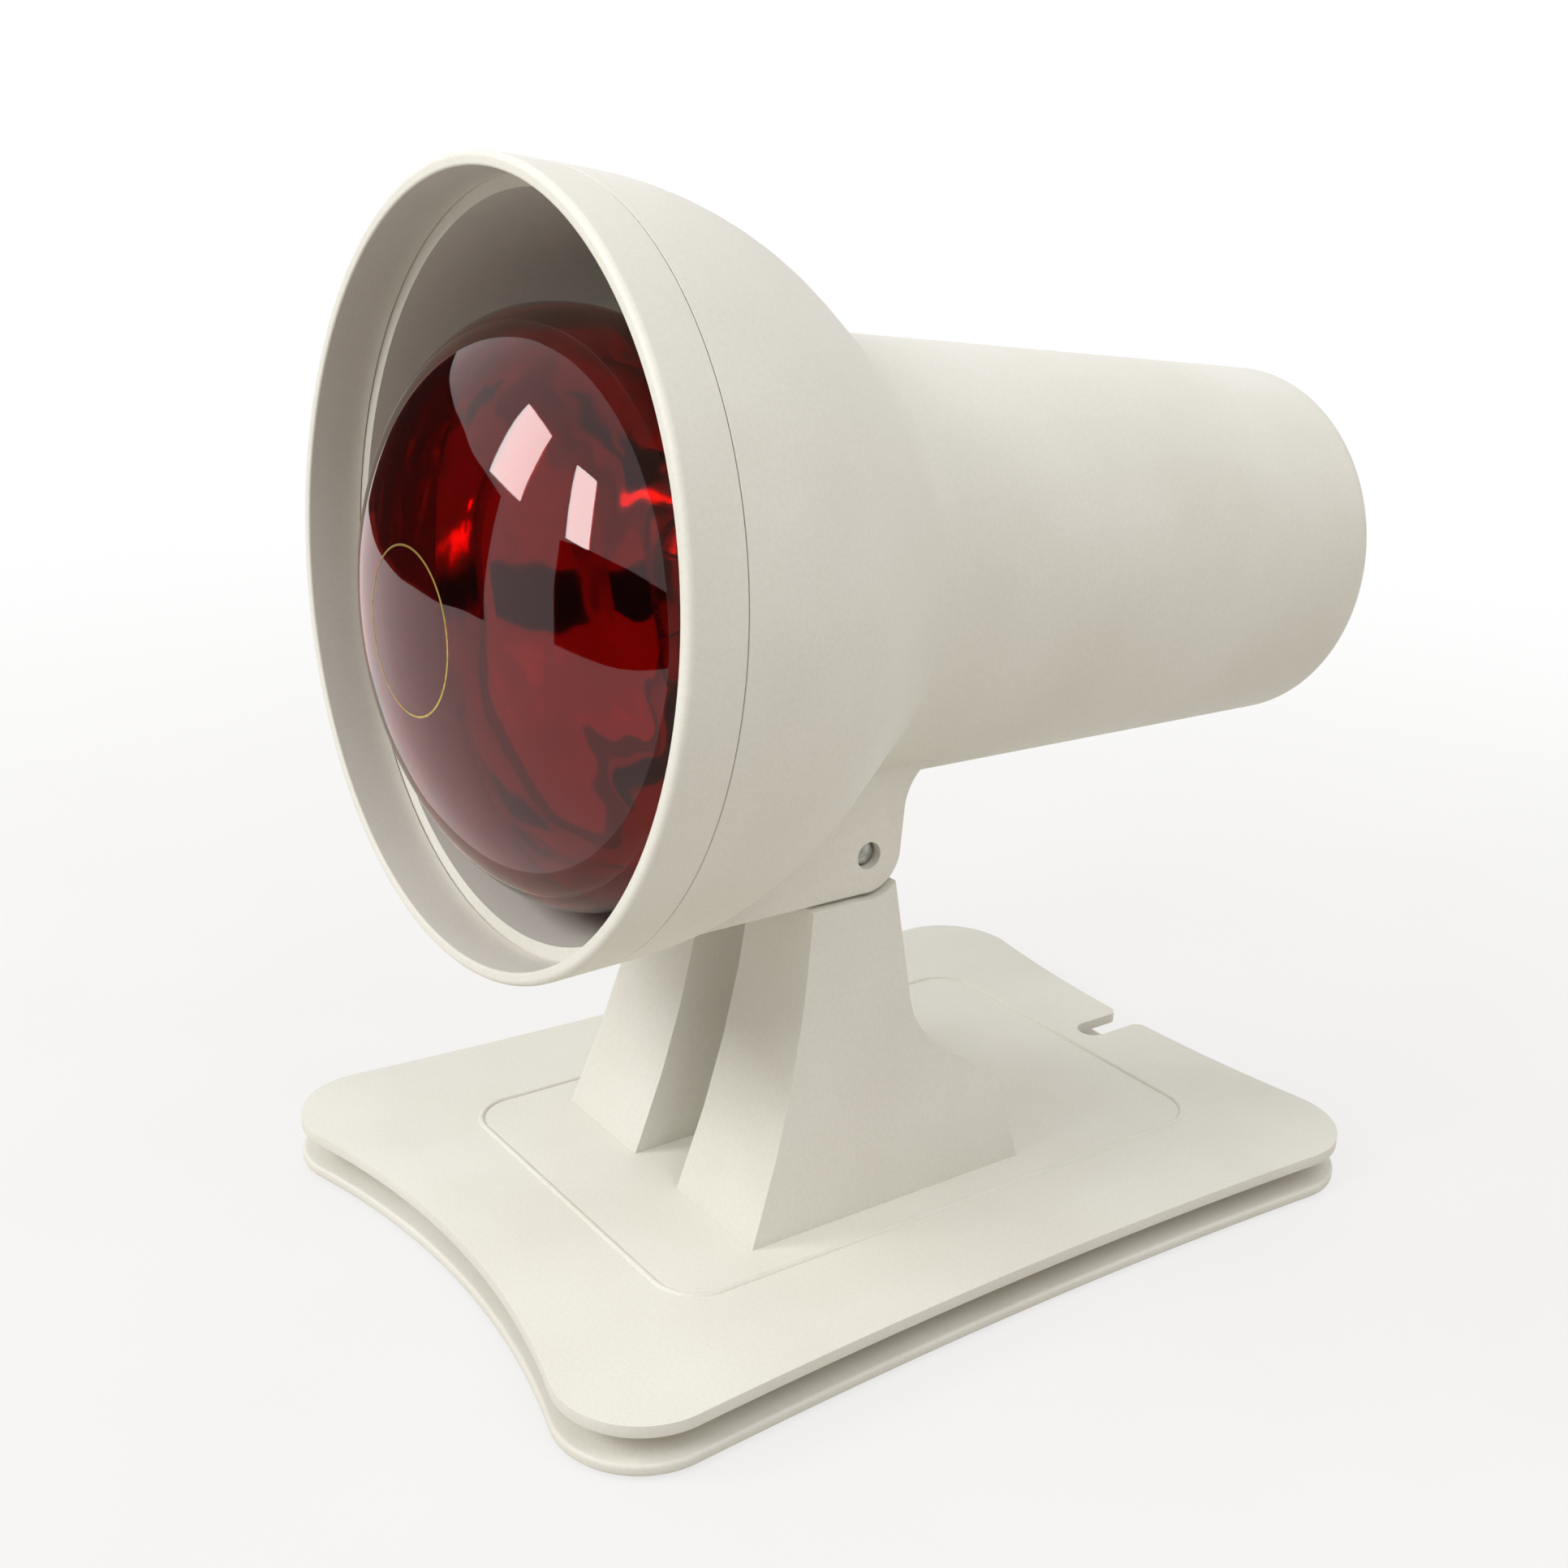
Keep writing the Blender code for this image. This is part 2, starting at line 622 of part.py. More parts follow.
def base_screw(grow, overrun):
    """A countersunk screw of the base, or the sink for it when grown by the fit's gap."""
    head_radius = SCREW_HEAD_RADIUS + grow
    shank_radius = SCREW_RADIUS + grow
    shank_start = FOOT_PROUD + SCREW_HEAD_HEIGHT
    tip = UPPER_UNDERSIDE - SEAT_GAP
    profile = [
        (-tip, 0.0),
        (-tip, shank_radius),
        (-shank_start, shank_radius),
        (-FOOT_PROUD, head_radius),
    ]
    if overrun > 0.0:
        profile.append((-FOOT_PROUD + overrun, head_radius))
    profile.append((profile[-1][0], 0.0))
    return turned("base_screw", profile, SMALL_STEPS)


def make_base_inside():
    """The winding core with its screw bosses, the ballast, the feet and the screws."""
    half = CORE_WALL / 2.0
    low = LOWER_TOP + SEAT_GAP
    high = UPPER_UNDERSIDE - SEAT_GAP
    core = lay_flat("cord_winding_core", [core_outline(half), core_outline(-half)], low, high)
    finish(core, IVORY_DEEP, PARTS)
    screws = []
    for number, (x, y) in enumerate(base_screw_places()):
        side = math.copysign(1.0, x)
        inner = (min(x, side * CORE_HALF_WIDTH), y - BASE_BOSS_RADIUS, low)
        outer = (max(x, side * CORE_HALF_WIDTH), y + BASE_BOSS_RADIUS, high)
        change(core, box(f"boss_web_{number}", inner, outer), "UNION")
        boss = cylinder(f"base_boss_{number}", BASE_BOSS_RADIUS, low, high)
        boss.location = (x, y, 0.0)
        change(core, boss, "UNION")
        hole = cylinder(
            f"base_boss_hole_{number}", SCREW_HOLE_RADIUS, low - CUT_OVERRUN, high + CUT_OVERRUN
        )
        hole.location = (x, y, 0.0)
        change(core, hole, "DIFFERENCE")
        screw = base_screw(0.0, 0.0)
        screw.location = (x, y, 0.0)
        screws.append(screw)
    finish_each("base_screw", screws, STEEL)

    half_width = CORE_HALF_WIDTH - BALLAST_SIDE_GAP
    front = BALLAST_SIDE_GAP - CORE_FRONT
    rear = CORE_REAR - BALLAST_SIDE_GAP
    corners = [(half_width, front), (half_width, rear), (-half_width, rear), (-half_width, front)]
    loop = rounded([(x, y, CORE_CORNER_RADIUS / 2.0) for x, y in corners], closed=True)
    ballast = lay_flat("ballast_weight", [loop], low, low + BALLAST_THICKNESS)
    finish(ballast, IRON, PARTS)

    feet = []
    for x, y in foot_places():
        top = FOOT_PROUD + FOOT_POCKET_DEPTH - SEAT_GAP
        foot = cylinder("rubber_foot", FOOT_RADIUS, 0.0, top, MEDIUM_STEPS // 2)
        foot.location = (x, y, 0.0)
        feet.append(foot)
    finish_each("rubber_foot", feet, RUBBER)


def pylon_path():
    """The side view of a pylon from its front foot over its top to its rear foot."""
    return [
        (PYLON_FRONT_FOOT_Y, 0.0, 0.0),
        (PYLON_FRONT_WAIST_Y, PYLON_FRONT_WAIST_HEIGHT, PYLON_FRONT_ROUND),
        (PYLON_FRONT_TOP_Y, PYLON_TOP_HEIGHT, 0.0),
        (PIVOT_Y, PYLON_TOP_HEIGHT, 0.0),
        (PYLON_REAR_TOP_Y, PYLON_REAR_TOP_HEIGHT, 0.0),
        (PYLON_WAIST_Y, PYLON_WAIST_HEIGHT, PYLON_WAIST_ROUND),
        (PYLON_KNEE_Y, PYLON_KNEE_HEIGHT, PYLON_KNEE_ROUND),
        (PYLON_REAR_FOOT_Y, 0.0, 0.0),
    ]


def outer_x(height):
    """Where the flared outer face of a pylon lies at a height above the plate."""
    return PYLON_FOOT_X + (PYLON_TOP_X - PYLON_FOOT_X) * height / PYLON_TOP_HEIGHT


def flared_prism(name, path, side, inner, margin, bottom):
    """A prism from an inner x to the flared outer face, less a margin, above a height."""
    loop = [(y, bottom + z) for y, z in path]
    item = side_piece(name, loop, side * inner, side * outer_x(0.0))
    for vert in item.data.vertices:
        if vert.co.z * side > 0.0:
            height = vert.co.y - bottom
            vert.co.z = side * (outer_x(height) - margin) - item.location.x
    return item


def make_pylon(side):
    """One hollow pylon with its tongue for the hinge rod. Side is 1 on the right, -1 on the left."""
    name = "right_pylon" if side > 0 else "left_pylon"
    inner = PYLON_GAP / 2.0
    foot = PLATE_TOP + SEAT_GAP
    path = pylon_path()
    pylon = flared_prism(name, rounded(path), side, inner, 0.0, foot)
    smooth(finish(pylon, IVORY, PARTS))

    nest = cross_cylinder(
        f"{name}_nest", NEST_RADIUS, -PYLON_FOOT_X - CUT_OVERRUN, PYLON_FOOT_X + CUT_OVERRUN, 48
    )
    nest.location = (0.0, PIVOT_Y, PIVOT_Z)
    change(pylon, nest, "DIFFERENCE")

    hollow = shifted(path[:3] + path[4:], PYLON_WALL)
    ceiling = PYLON_TOP_HEIGHT - PYLON_TOP_WALL
    hollow[2] = (hollow[2][0], ceiling, 0.0)
    hollow[3] = (hollow[3][0], ceiling, 0.0)
    hollow[0] = (hollow[0][0], -CUT_OVERRUN, 0.0)
    hollow[-1] = (hollow[-1][0], -CUT_OVERRUN, 0.0)
    cavity = flared_prism(
        f"{name}_hollow", rounded(hollow), side, inner + PYLON_WALL, PYLON_WALL, foot
    )
    change(pylon, cavity, "DIFFERENCE")

    for number, (x, y) in enumerate(pylon_screw_places(side)):
        boss = cylinder(f"{name}_boss_{number}", PYLON_BOSS_RADIUS, foot, foot + PYLON_BOSS_HEIGHT)
        boss.location = (x, y, 0.0)
        change(pylon, boss, "UNION")
        hole = cylinder(
            f"{name}_boss_hole_{number}",
            SCREW_HOLE_RADIUS,
            foot - CUT_OVERRUN,
            foot + PYLON_SCREW_LENGTH + SEAT_GAP,
        )
        hole.location = (x, y, 0.0)
        change(pylon, hole, "DIFFERENCE")

    neck = PYLON_TOP_DROP + CUT_OVERRUN
    loop = arc((0.0, 0.0), TONGUE_RADIUS, 0.0, math.pi, 12)
    loop += [(-TONGUE_RADIUS, -neck), (TONGUE_RADIUS, -neck)]
    tongue_end = EAR_INNER_X - 2.0 * SEAT_GAP - WASHER_THICKNESS
    tongue = side_piece(f"{name}_tongue", loop, side * inner, side * tongue_end)
    tongue.location.y = PIVOT_Y
    tongue.location.z = PIVOT_Z
    change(pylon, tongue, "UNION")
    reach = EAR_OUTER_X
    hole = cross_cylinder(f"{name}_rod_hole", ROD_HOLE_RADIUS, -reach, reach, SMALL_STEPS)
    hole.location = (0.0, PIVOT_Y, PIVOT_Z)
    change(pylon, hole, "DIFFERENCE")


def make_pylon_screws():
    """Pan head screws that hold the pylons from under the upper plate."""
    screws = []
    for x, y in pylon_screw_places(1) + pylon_screw_places(-1):
        head_top = UPPER_UNDERSIDE - SEAT_GAP
        tip = PLATE_TOP + SEAT_GAP + PYLON_SCREW_LENGTH
        profile = [
            (-tip, 0.0),
            (-tip, SCREW_RADIUS),
            (-head_top, SCREW_RADIUS),
            (-head_top, SCREW_HEAD_RADIUS),
            (-head_top + SCREW_HEAD_HEIGHT, SCREW_HEAD_RADIUS),
            (-head_top + SCREW_HEAD_HEIGHT, 0.0),
        ]
        screw = turned("pylon_screw", profile, SMALL_STEPS)
        screw.location = (x, y, 0.0)
        screws.append(screw)
    finish_each("pylon_screw", screws, STEEL)


def make_hinge():
    """The steel rod, and a friction washer between each tongue and its ear."""
    end = EAR_OUTER_X - ROD_RECESS
    rod = cross_cylinder("hinge_rod", ROD_RADIUS, -end, end, SMALL_STEPS)
    rod.location = (0.0, PIVOT_Y, PIVOT_Z)
    soften(finish(rod, STEEL, PARTS), ROD_RADIUS / 6.0)
    washers = []
    for side in (-1, 1):
        outer = EAR_INNER_X - SEAT_GAP
        profile = [
            (-WASHER_THICKNESS, ROD_HOLE_RADIUS),
            (-WASHER_THICKNESS, WASHER_RADIUS),
            (0.0, WASHER_RADIUS),
            (0.0, ROD_HOLE_RADIUS),
        ]
        washer = turned("washer", profile, MEDIUM_STEPS // 2)
        washer.rotation_euler = (0.0, math.pi / 2.0, 0.0)
        start = outer - WASHER_THICKNESS if side > 0 else -outer
        washer.location = (start, PIVOT_Y, PIVOT_Z)
        washers.append(washer)
    finish_each("hinge_washer", washers, FIBRE)


def hood_path(start):
    """The outside of the hood from a place behind the rim back to the middle of its rear wall."""
    return [
        (start, RIM_RADIUS - RIM_SLOPE * start, 0.0),
        (SHOULDER_PLACE, SHOULDER_RADIUS, SHOULDER_ROUND),
        (CREASE_PLACE, CREASE_RADIUS, CREASE_ROUND),
        (REAR_PLACE, REAR_RADIUS, REAR_ROUND),
        (REAR_PLACE, 0.0, 0.0),
    ]


def ear_outline():
    """The side view of an ear about the hinge: a round corner, a long foot and a fillet behind."""
    corner = EAR_CORNER_RADIUS
    down = -math.pi / 2.0 - REST_TILT
    points = arc((0.0, 0.0), corner, down, 0.0, 8)
    fillet_x = corner + EAR_FILLET_RADIUS
    points += arc((fillet_x, EAR_STRAIGHT), EAR_FILLET_RADIUS, math.pi, math.pi / 2.0, 6)
    top = AXIS_ABOVE_PIVOT - CREASE_RADIUS / 2.0
    points += [(fillet_x, top), (-EAR_REACH, top)]
    toe = points[0][1] - (EAR_REACH + points[0][0]) * math.tan(REST_TILT)
    points.append((-EAR_REACH, toe))
    return points


def make_hood():
    """The hollow hood: bowl, tapered rear cylinder and two ears, in one moulding."""
    start = SEAM_PLACE + SEAT_GAP / 2.0
    outside = hood_path(start)
    profile = [(start, 0.0)] + rounded(outside)
    hood = along_head(turned("hood_shell", profile, LARGE_STEPS), 0.0)
    finish(hood, IVORY, PARTS, HEAD)
    for side, label in ((-1, "left"), (1, "right")):
        ear = side_piece(f"{label}_ear", ear_outline(), side * EAR_INNER_X, side * EAR_OUTER_X)
        change(hood, ear, "UNION", HEAD)

    inside = shifted(outside, HOOD_WALL)
    lip_radius = RIM_RADIUS - RIM_SLOPE * start - RIM_WALL - LEDGE_WIDTH
    inside[0] = (start, lip_radius, 0.0)
    bore = [(start - CUT_OVERRUN, 0.0), (start - CUT_OVERRUN, lip_radius)] + rounded(inside)
    change(hood, along_head(turned("hood_bore", bore, LARGE_STEPS), 0.0), "DIFFERENCE", HEAD)

    for side, label in ((-1, "left"), (1, "right")):
        boss_start = BRACKET_THICKNESS + SEAT_GAP
        boss_end = REAR_PLACE - SEAT_PLACE - HOOD_WALL / 2.0
        boss = cylinder(f"{label}_boss", BRACKET_BOSS_RADIUS, -boss_end, -boss_start)
        along_bulb(boss, 0.0, x=side * BRACKET_SCREW_X)
        change(hood, boss, "UNION", BULB_AXIS)
        rib_low = (side * BRACKET_SCREW_X - HOOD_WALL / 2.0, boss_start, -HOOD_WALL / 2.0)
        reach = REAR_RADIUS - HOOD_WALL / 2.0
        rib_high = (side * BRACKET_SCREW_X + HOOD_WALL / 2.0, boss_end, HOOD_WALL / 2.0)
        low = (min(rib_low[0], side * reach), rib_low[1], rib_low[2])
        high = (max(rib_high[0], side * reach), rib_high[1], rib_high[2])
        change(hood, box(f"{label}_boss_rib", low, high), "UNION", BULB_AXIS)
        hole_end = boss_start + PYLON_SCREW_LENGTH
        hole = cylinder(f"{label}_boss_hole", SCREW_HOLE_RADIUS, -hole_end, CUT_OVERRUN)
        along_bulb(hole, 0.0, x=side * BRACKET_SCREW_X)
        change(hood, hole, "DIFFERENCE", BULB_AXIS)

    reach = EAR_OUTER_X + CUT_OVERRUN
    change(hood, cross_cylinder("ear_holes", ROD_HOLE_RADIUS, -reach, reach), "DIFFERENCE", HEAD)
    gland_hole = cylinder(
        "gland_hole", GLAND_BODY_RADIUS + SEAT_GAP, -HOOD_WALL - CUT_OVERRUN, CUT_OVERRUN
    )
    along_head(gland_hole, REAR_PLACE - HOOD_WALL, GLAND_DROP)
    change(hood, gland_hole, "DIFFERENCE", HEAD)


def make_front_ring():
    """The ring that carries the rim, ahead of the seam."""
    end = SEAM_PLACE - SEAT_GAP / 2.0
    end_radius = RIM_RADIUS - RIM_SLOPE * end
    inner = RIM_RADIUS - RIM_WALL
    corners = [
        (end, inner, 0.0),
        (0.0, inner, RIM_EDGE_ROUND / 2.0),
        (0.0, RIM_RADIUS, RIM_EDGE_ROUND),
        (end, end_radius, 0.0),
    ]
    ring = along_head(turned("front_ring", rounded(corners), LARGE_STEPS), 0.0)
    finish(ring, IVORY, PARTS, HEAD)


def make_lampholder():
    """The ceramic holder, its threaded shell, its contacts and terminals, and their screws."""
    rear = SEAT_GAP
    profile = [
        (-HOLDER_FLOOR, 0.0),
        (-HOLDER_FLOOR, HOLDER_BORE_RADIUS),
        (-HOLDER_LENGTH, HOLDER_BORE_RADIUS),
        (-HOLDER_LENGTH, HOLDER_RADIUS),
        (-rear, HOLDER_RADIUS),
        (-rear, HOLDER_RECESS_RADIUS),
        (-HOLDER_RECESS_DEPTH, HOLDER_RECESS_RADIUS),
        (-HOLDER_RECESS_DEPTH, 0.0),
    ]
    body = along_bulb(turned("lampholder_body", profile, MEDIUM_STEPS), 0.0)
    finish(body, CERAMIC, PARTS, BULB_AXIS)
    for side, label in ((-1, "left"), (1, "right")):
        depth = HOLDER_SCREW_DEPTH + SEAT_GAP
        hole = cylinder(f"{label}_holder_hole", SCREW_HOLE_RADIUS, -CUT_OVERRUN, depth)
        along_bulb(hole, 0.0, x=side * HOLDER_SCREW_X)
        change(body, hole, "DIFFERENCE", BULB_AXIS)

    inner = SHELL_INNER_RADIUS
    start = HOLDER_FLOOR + SEAT_GAP
    profile = [
        (-start - SHELL_LENGTH, inner),
        (-start - SHELL_LENGTH, inner + SHELL_WALL),
        (-start, inner + SHELL_WALL),
        (-start, inner),
    ]
    shell = along_bulb(turned("lampholder_shell", profile, MEDIUM_STEPS), 0.0)
    finish(shell, BRASS, PARTS, BULB_AXIS)

    top = HOLDER_FLOOR + SEAT_GAP + CONTACT_THICKNESS
    contact = cylinder("centre_contact", CONTACT_RADIUS, HOLDER_FLOOR + SEAT_GAP, top)
    smooth(finish(along_bulb(contact, 0.0), BRASS, PARTS, BULB_AXIS))

    blocks = []
    screws = []
    for side in (-1, 1):
        low = HOLDER_RECESS_DEPTH - SEAT_GAP - TERMINAL_DEPTH
        x_low = side * TERMINAL_X - TERMINAL_WIDTH / 2.0
        corner = (x_low, -low - TERMINAL_DEPTH, -TERMINAL_HEIGHT / 2.0)
        far = (x_low + TERMINAL_WIDTH, -low, TERMINAL_HEIGHT / 2.0)
        blocks.append(box("terminal", corner, far))
        head_low = low - SEAT_GAP - SCREW_HEAD_HEIGHT / 2.0
        screw = cylinder("terminal_screw", TERMINAL_SCREW_RADIUS, head_low, low - SEAT_GAP)
        screws.append(along_bulb(screw, 0.0, x=side * TERMINAL_X, z=TERMINAL_HEIGHT / 4.0))
    finish_each("terminal_block", blocks, BRASS, BULB_AXIS)
    finish_each("terminal_screw", screws, STEEL, BULB_AXIS)


def pan_screw(name, head_place, tip_place):
    """A pan head screw along the bulb's axis, from under its head to its tip."""
    forward = 1.0 if tip_place > head_place else -1.0
    head_end = head_place - forward * SCREW_HEAD_HEIGHT
    points = [
        (-tip_place, 0.0),
        (-tip_place, SCREW_RADIUS),
        (-head_place, SCREW_RADIUS),
        (-head_place, SCREW_HEAD_RADIUS),
        (-head_end, SCREW_HEAD_RADIUS),
        (-head_end, 0.0),
    ]
    return turned(name, points if forward > 0.0 else points[::-1], SMALL_STEPS)


def make_bracket():
    """The steel bracket, the screws through it, and the cord clamp on its tail."""
    rear = BRACKET_THICKNESS
    wide = BRACKET_HALF_WIDTH
    high = BRACKET_HALF_HEIGHT
    tail = BRACKET_TAIL
    tail_half = CLAMP_HALF_WIDTH
    edge = CLAMP_GROOVE_RADIUS
    corners = [(wide, -high), (wide, high), (-wide, high), (-wide, -high)]
    root = high + edge
    corners += [(-tail_half, -root), (-tail_half, -tail), (tail_half, -tail), (tail_half, -root)]
    radii = [edge, edge, edge, edge, 0.0, edge, edge, 0.0]
    loop = rounded([(x, z, r) for (x, z), r in zip(corners, radii)], closed=True)
    plate = flat_piece("lampholder_bracket", [loop], BRACKET_THICKNESS)
    along_bulb(plate, -rear / 2.0)
    finish(plate, STEEL, PARTS, BULB_AXIS)
    window_x = BRACKET_WINDOW_HALF_WIDTH
    window_z = BRACKET_WINDOW_HALF_HEIGHT
    window_low = (-window_x, -CUT_OVERRUN, -window_z)
    window_high = (window_x, rear + CUT_OVERRUN, window_z)
    change(plate, box("bracket_window", window_low, window_high), "DIFFERENCE", BULB_AXIS)
    clamp_z = clamp_height()
    places = [(side * x, 0.0) for x in (BRACKET_SCREW_X, HOLDER_SCREW_X) for side in (-1, 1)]
    places += [(side * CLAMP_SCREW_X, clamp_z) for side in (-1, 1)]
    for number, (x, z) in enumerate(places):
        hole = cylinder(
            f"bracket_hole_{number}", SCREW_HOLE_RADIUS, -rear - CUT_OVERRUN, CUT_OVERRUN
        )
        along_bulb(hole, 0.0, x=x, z=z)
        change(plate, hole, "DIFFERENCE", BULB_AXIS)

    bracket_screws = []
    holder_screws = []
    for side in (-1, 1):
        tip = -BRACKET_THICKNESS - PYLON_SCREW_LENGTH + SEAT_GAP
        screw = pan_screw("bracket_screw", SEAT_GAP, tip)
        bracket_screws.append(along_bulb(screw, 0.0, x=side * BRACKET_SCREW_X))
        screw = pan_screw("holder_screw", -rear - SEAT_GAP, HOLDER_SCREW_DEPTH)
        holder_screws.append(along_bulb(screw, 0.0, x=side * HOLDER_SCREW_X))
    finish_each("bracket_screw", bracket_screws, STEEL, BULB_AXIS)
    finish_each("holder_screw", holder_screws, STEEL, BULB_AXIS)

    front = rear + SEAT_GAP
    low = (-CLAMP_HALF_WIDTH, front, clamp_z - CLAMP_HEIGHT / 2.0)
    far = (CLAMP_HALF_WIDTH, front + CLAMP_DEPTH, clamp_z + CLAMP_HEIGHT / 2.0)
    clamp = box("cord_clamp", low, far)
    soften(finish(clamp, IVORY_DEEP, PARTS, BULB_AXIS), SEAT_GAP)
    groove = cylinder("clamp_groove", CLAMP_GROOVE_RADIUS, -CLAMP_HEIGHT, CLAMP_HEIGHT)
    groove.location = (0.0, front, clamp_z)
    change(clamp, groove, "DIFFERENCE", BULB_AXIS)
    clamp_screws = []
    for number, side in enumerate((-1, 1)):
        hole = cylinder(
            f"clamp_hole_{number}", SCREW_HOLE_RADIUS, -front - CLAMP_DEPTH - CUT_OVERRUN, 0.0
        )
        along_bulb(hole, 0.0, x=side * CLAMP_SCREW_X, z=clamp_z)
        change(clamp, hole, "DIFFERENCE", BULB_AXIS)
        screw = pan_screw("clamp_screw", -front - CLAMP_DEPTH - SEAT_GAP, 0.0)
        clamp_screws.append(along_bulb(screw, 0.0, x=side * CLAMP_SCREW_X, z=clamp_z))
    finish_each("clamp_screw", clamp_screws, STEEL, BULB_AXIS)


def clamp_height():
    """The clamp's place on the bulb's axis frame: the middle of the bracket's tail."""
    return -(BRACKET_HALF_HEIGHT + BRACKET_TAIL) / 2.0


def make_gland_and_leads():
    """The rubber gland in the rear wall, and the two leads from it to the terminals."""
    profile = [
        (-HOOD_WALL - SEAT_GAP - GLAND_FLANGE_THICKNESS, GLAND_BORE_RADIUS),
        (-HOOD_WALL - SEAT_GAP - GLAND_FLANGE_THICKNESS, GLAND_BODY_RADIUS + SEAT_GAP * 3.0),
        (-HOOD_WALL - SEAT_GAP, GLAND_BODY_RADIUS + SEAT_GAP * 3.0),
        (-HOOD_WALL - SEAT_GAP, GLAND_BODY_RADIUS),
        (SEAT_GAP, GLAND_BODY_RADIUS),
        (SEAT_GAP, GLAND_FLANGE_RADIUS),
        (SEAT_GAP + GLAND_FLANGE_THICKNESS, GLAND_FLANGE_RADIUS),
        (SEAT_GAP + GLAND_FLANGE_THICKNESS, GLAND_BORE_RADIUS),
    ]
    gland = along_head(turned("cord_gland", profile, MEDIUM_STEPS // 2), REAR_PLACE, GLAND_DROP)
    finish(gland, RUBBER, PARTS, HEAD)

    clamp_z = clamp_height()
    clamp_low = clamp_z - CLAMP_HEIGHT / 2.0
    clamp_high = clamp_z + CLAMP_HEIGHT / 2.0
    groove_y = BRACKET_THICKNESS + 2.0 * SEAT_GAP + LEAD_RADIUS
    behind = groove_y + CLAMP_DEPTH * 2.0
    gland_y = REAR_PLACE - SEAT_PLACE - HOOD_WALL - 2.0 * GLAND_FLANGE_THICKNESS
    gland_z = gland_y * math.tan(BULB_DROOP) - GLAND_DROP
    leads = []
    for side in (-1, 1):
        x = side * LEAD_SPACING
        end_x = side * (TERMINAL_X - TERMINAL_WIDTH / 4.0)
        end_y = -(HOLDER_RECESS_DEPTH - TERMINAL_DEPTH - SEAT_GAP) + LEAD_RADIUS + SEAT_GAP
        path = [
            (x, gland_y, gland_z),
            (x, (gland_y + behind) / 2.0, clamp_low - CLAMP_HEIGHT / 4.0),
            (x, groove_y, clamp_low - LEAD_RADIUS),
            (x, groove_y, clamp_z),
            (x, groove_y, clamp_high + LEAD_RADIUS),
            (end_x, groove_y, -TERMINAL_HEIGHT / 2.0 - LEAD_RADIUS),
            (end_x, (groove_y + end_y) / 2.0, -TERMINAL_HEIGHT / 2.0 + LEAD_RADIUS),
            (end_x, end_y, -TERMINAL_HEIGHT / 4.0),
        ]
        leads.append(wire("lead", path, LEAD_RADIUS))
    finish_each("inner_lead", leads, LEAD_BLUE, BULB_AXIS)


def glass_path():
    """The outside of the bulb's glass from its widest place back to its open neck."""
    return [
        (DOME_DEPTH, BULB_RADIUS, 0.0),
        (BULB_SHOULDER_DEPTH, BULB_RADIUS, BULB_SHOULDER_ROUND),
        (NECK_START_DEPTH, NECK_START_RADIUS, NECK_START_ROUND),
        (NECK_END_DEPTH, NECK_END_RADIUS, NECK_ROUND),
        (NECK_PLUG_DEPTH, CAP_RADIUS - CAP_WALL - SEAT_GAP, NECK_ROUND),
        (NECK_PLUG_DEPTH + NECK_PLUG_LENGTH, CAP_RADIUS - CAP_WALL - SEAT_GAP, 0.0),
    ]


def dome(wall):
    """The flattened front of the bulb as a quarter ellipse, from its pole to its widest place."""
    steps = 6
    points = []
    for i in range(steps):
        angle = math.pi / 2.0 * i / steps
        depth = DOME_DEPTH - (DOME_DEPTH - wall) * math.cos(angle)
        points.append((depth, (BULB_RADIUS - wall) * math.sin(angle)))
    return points


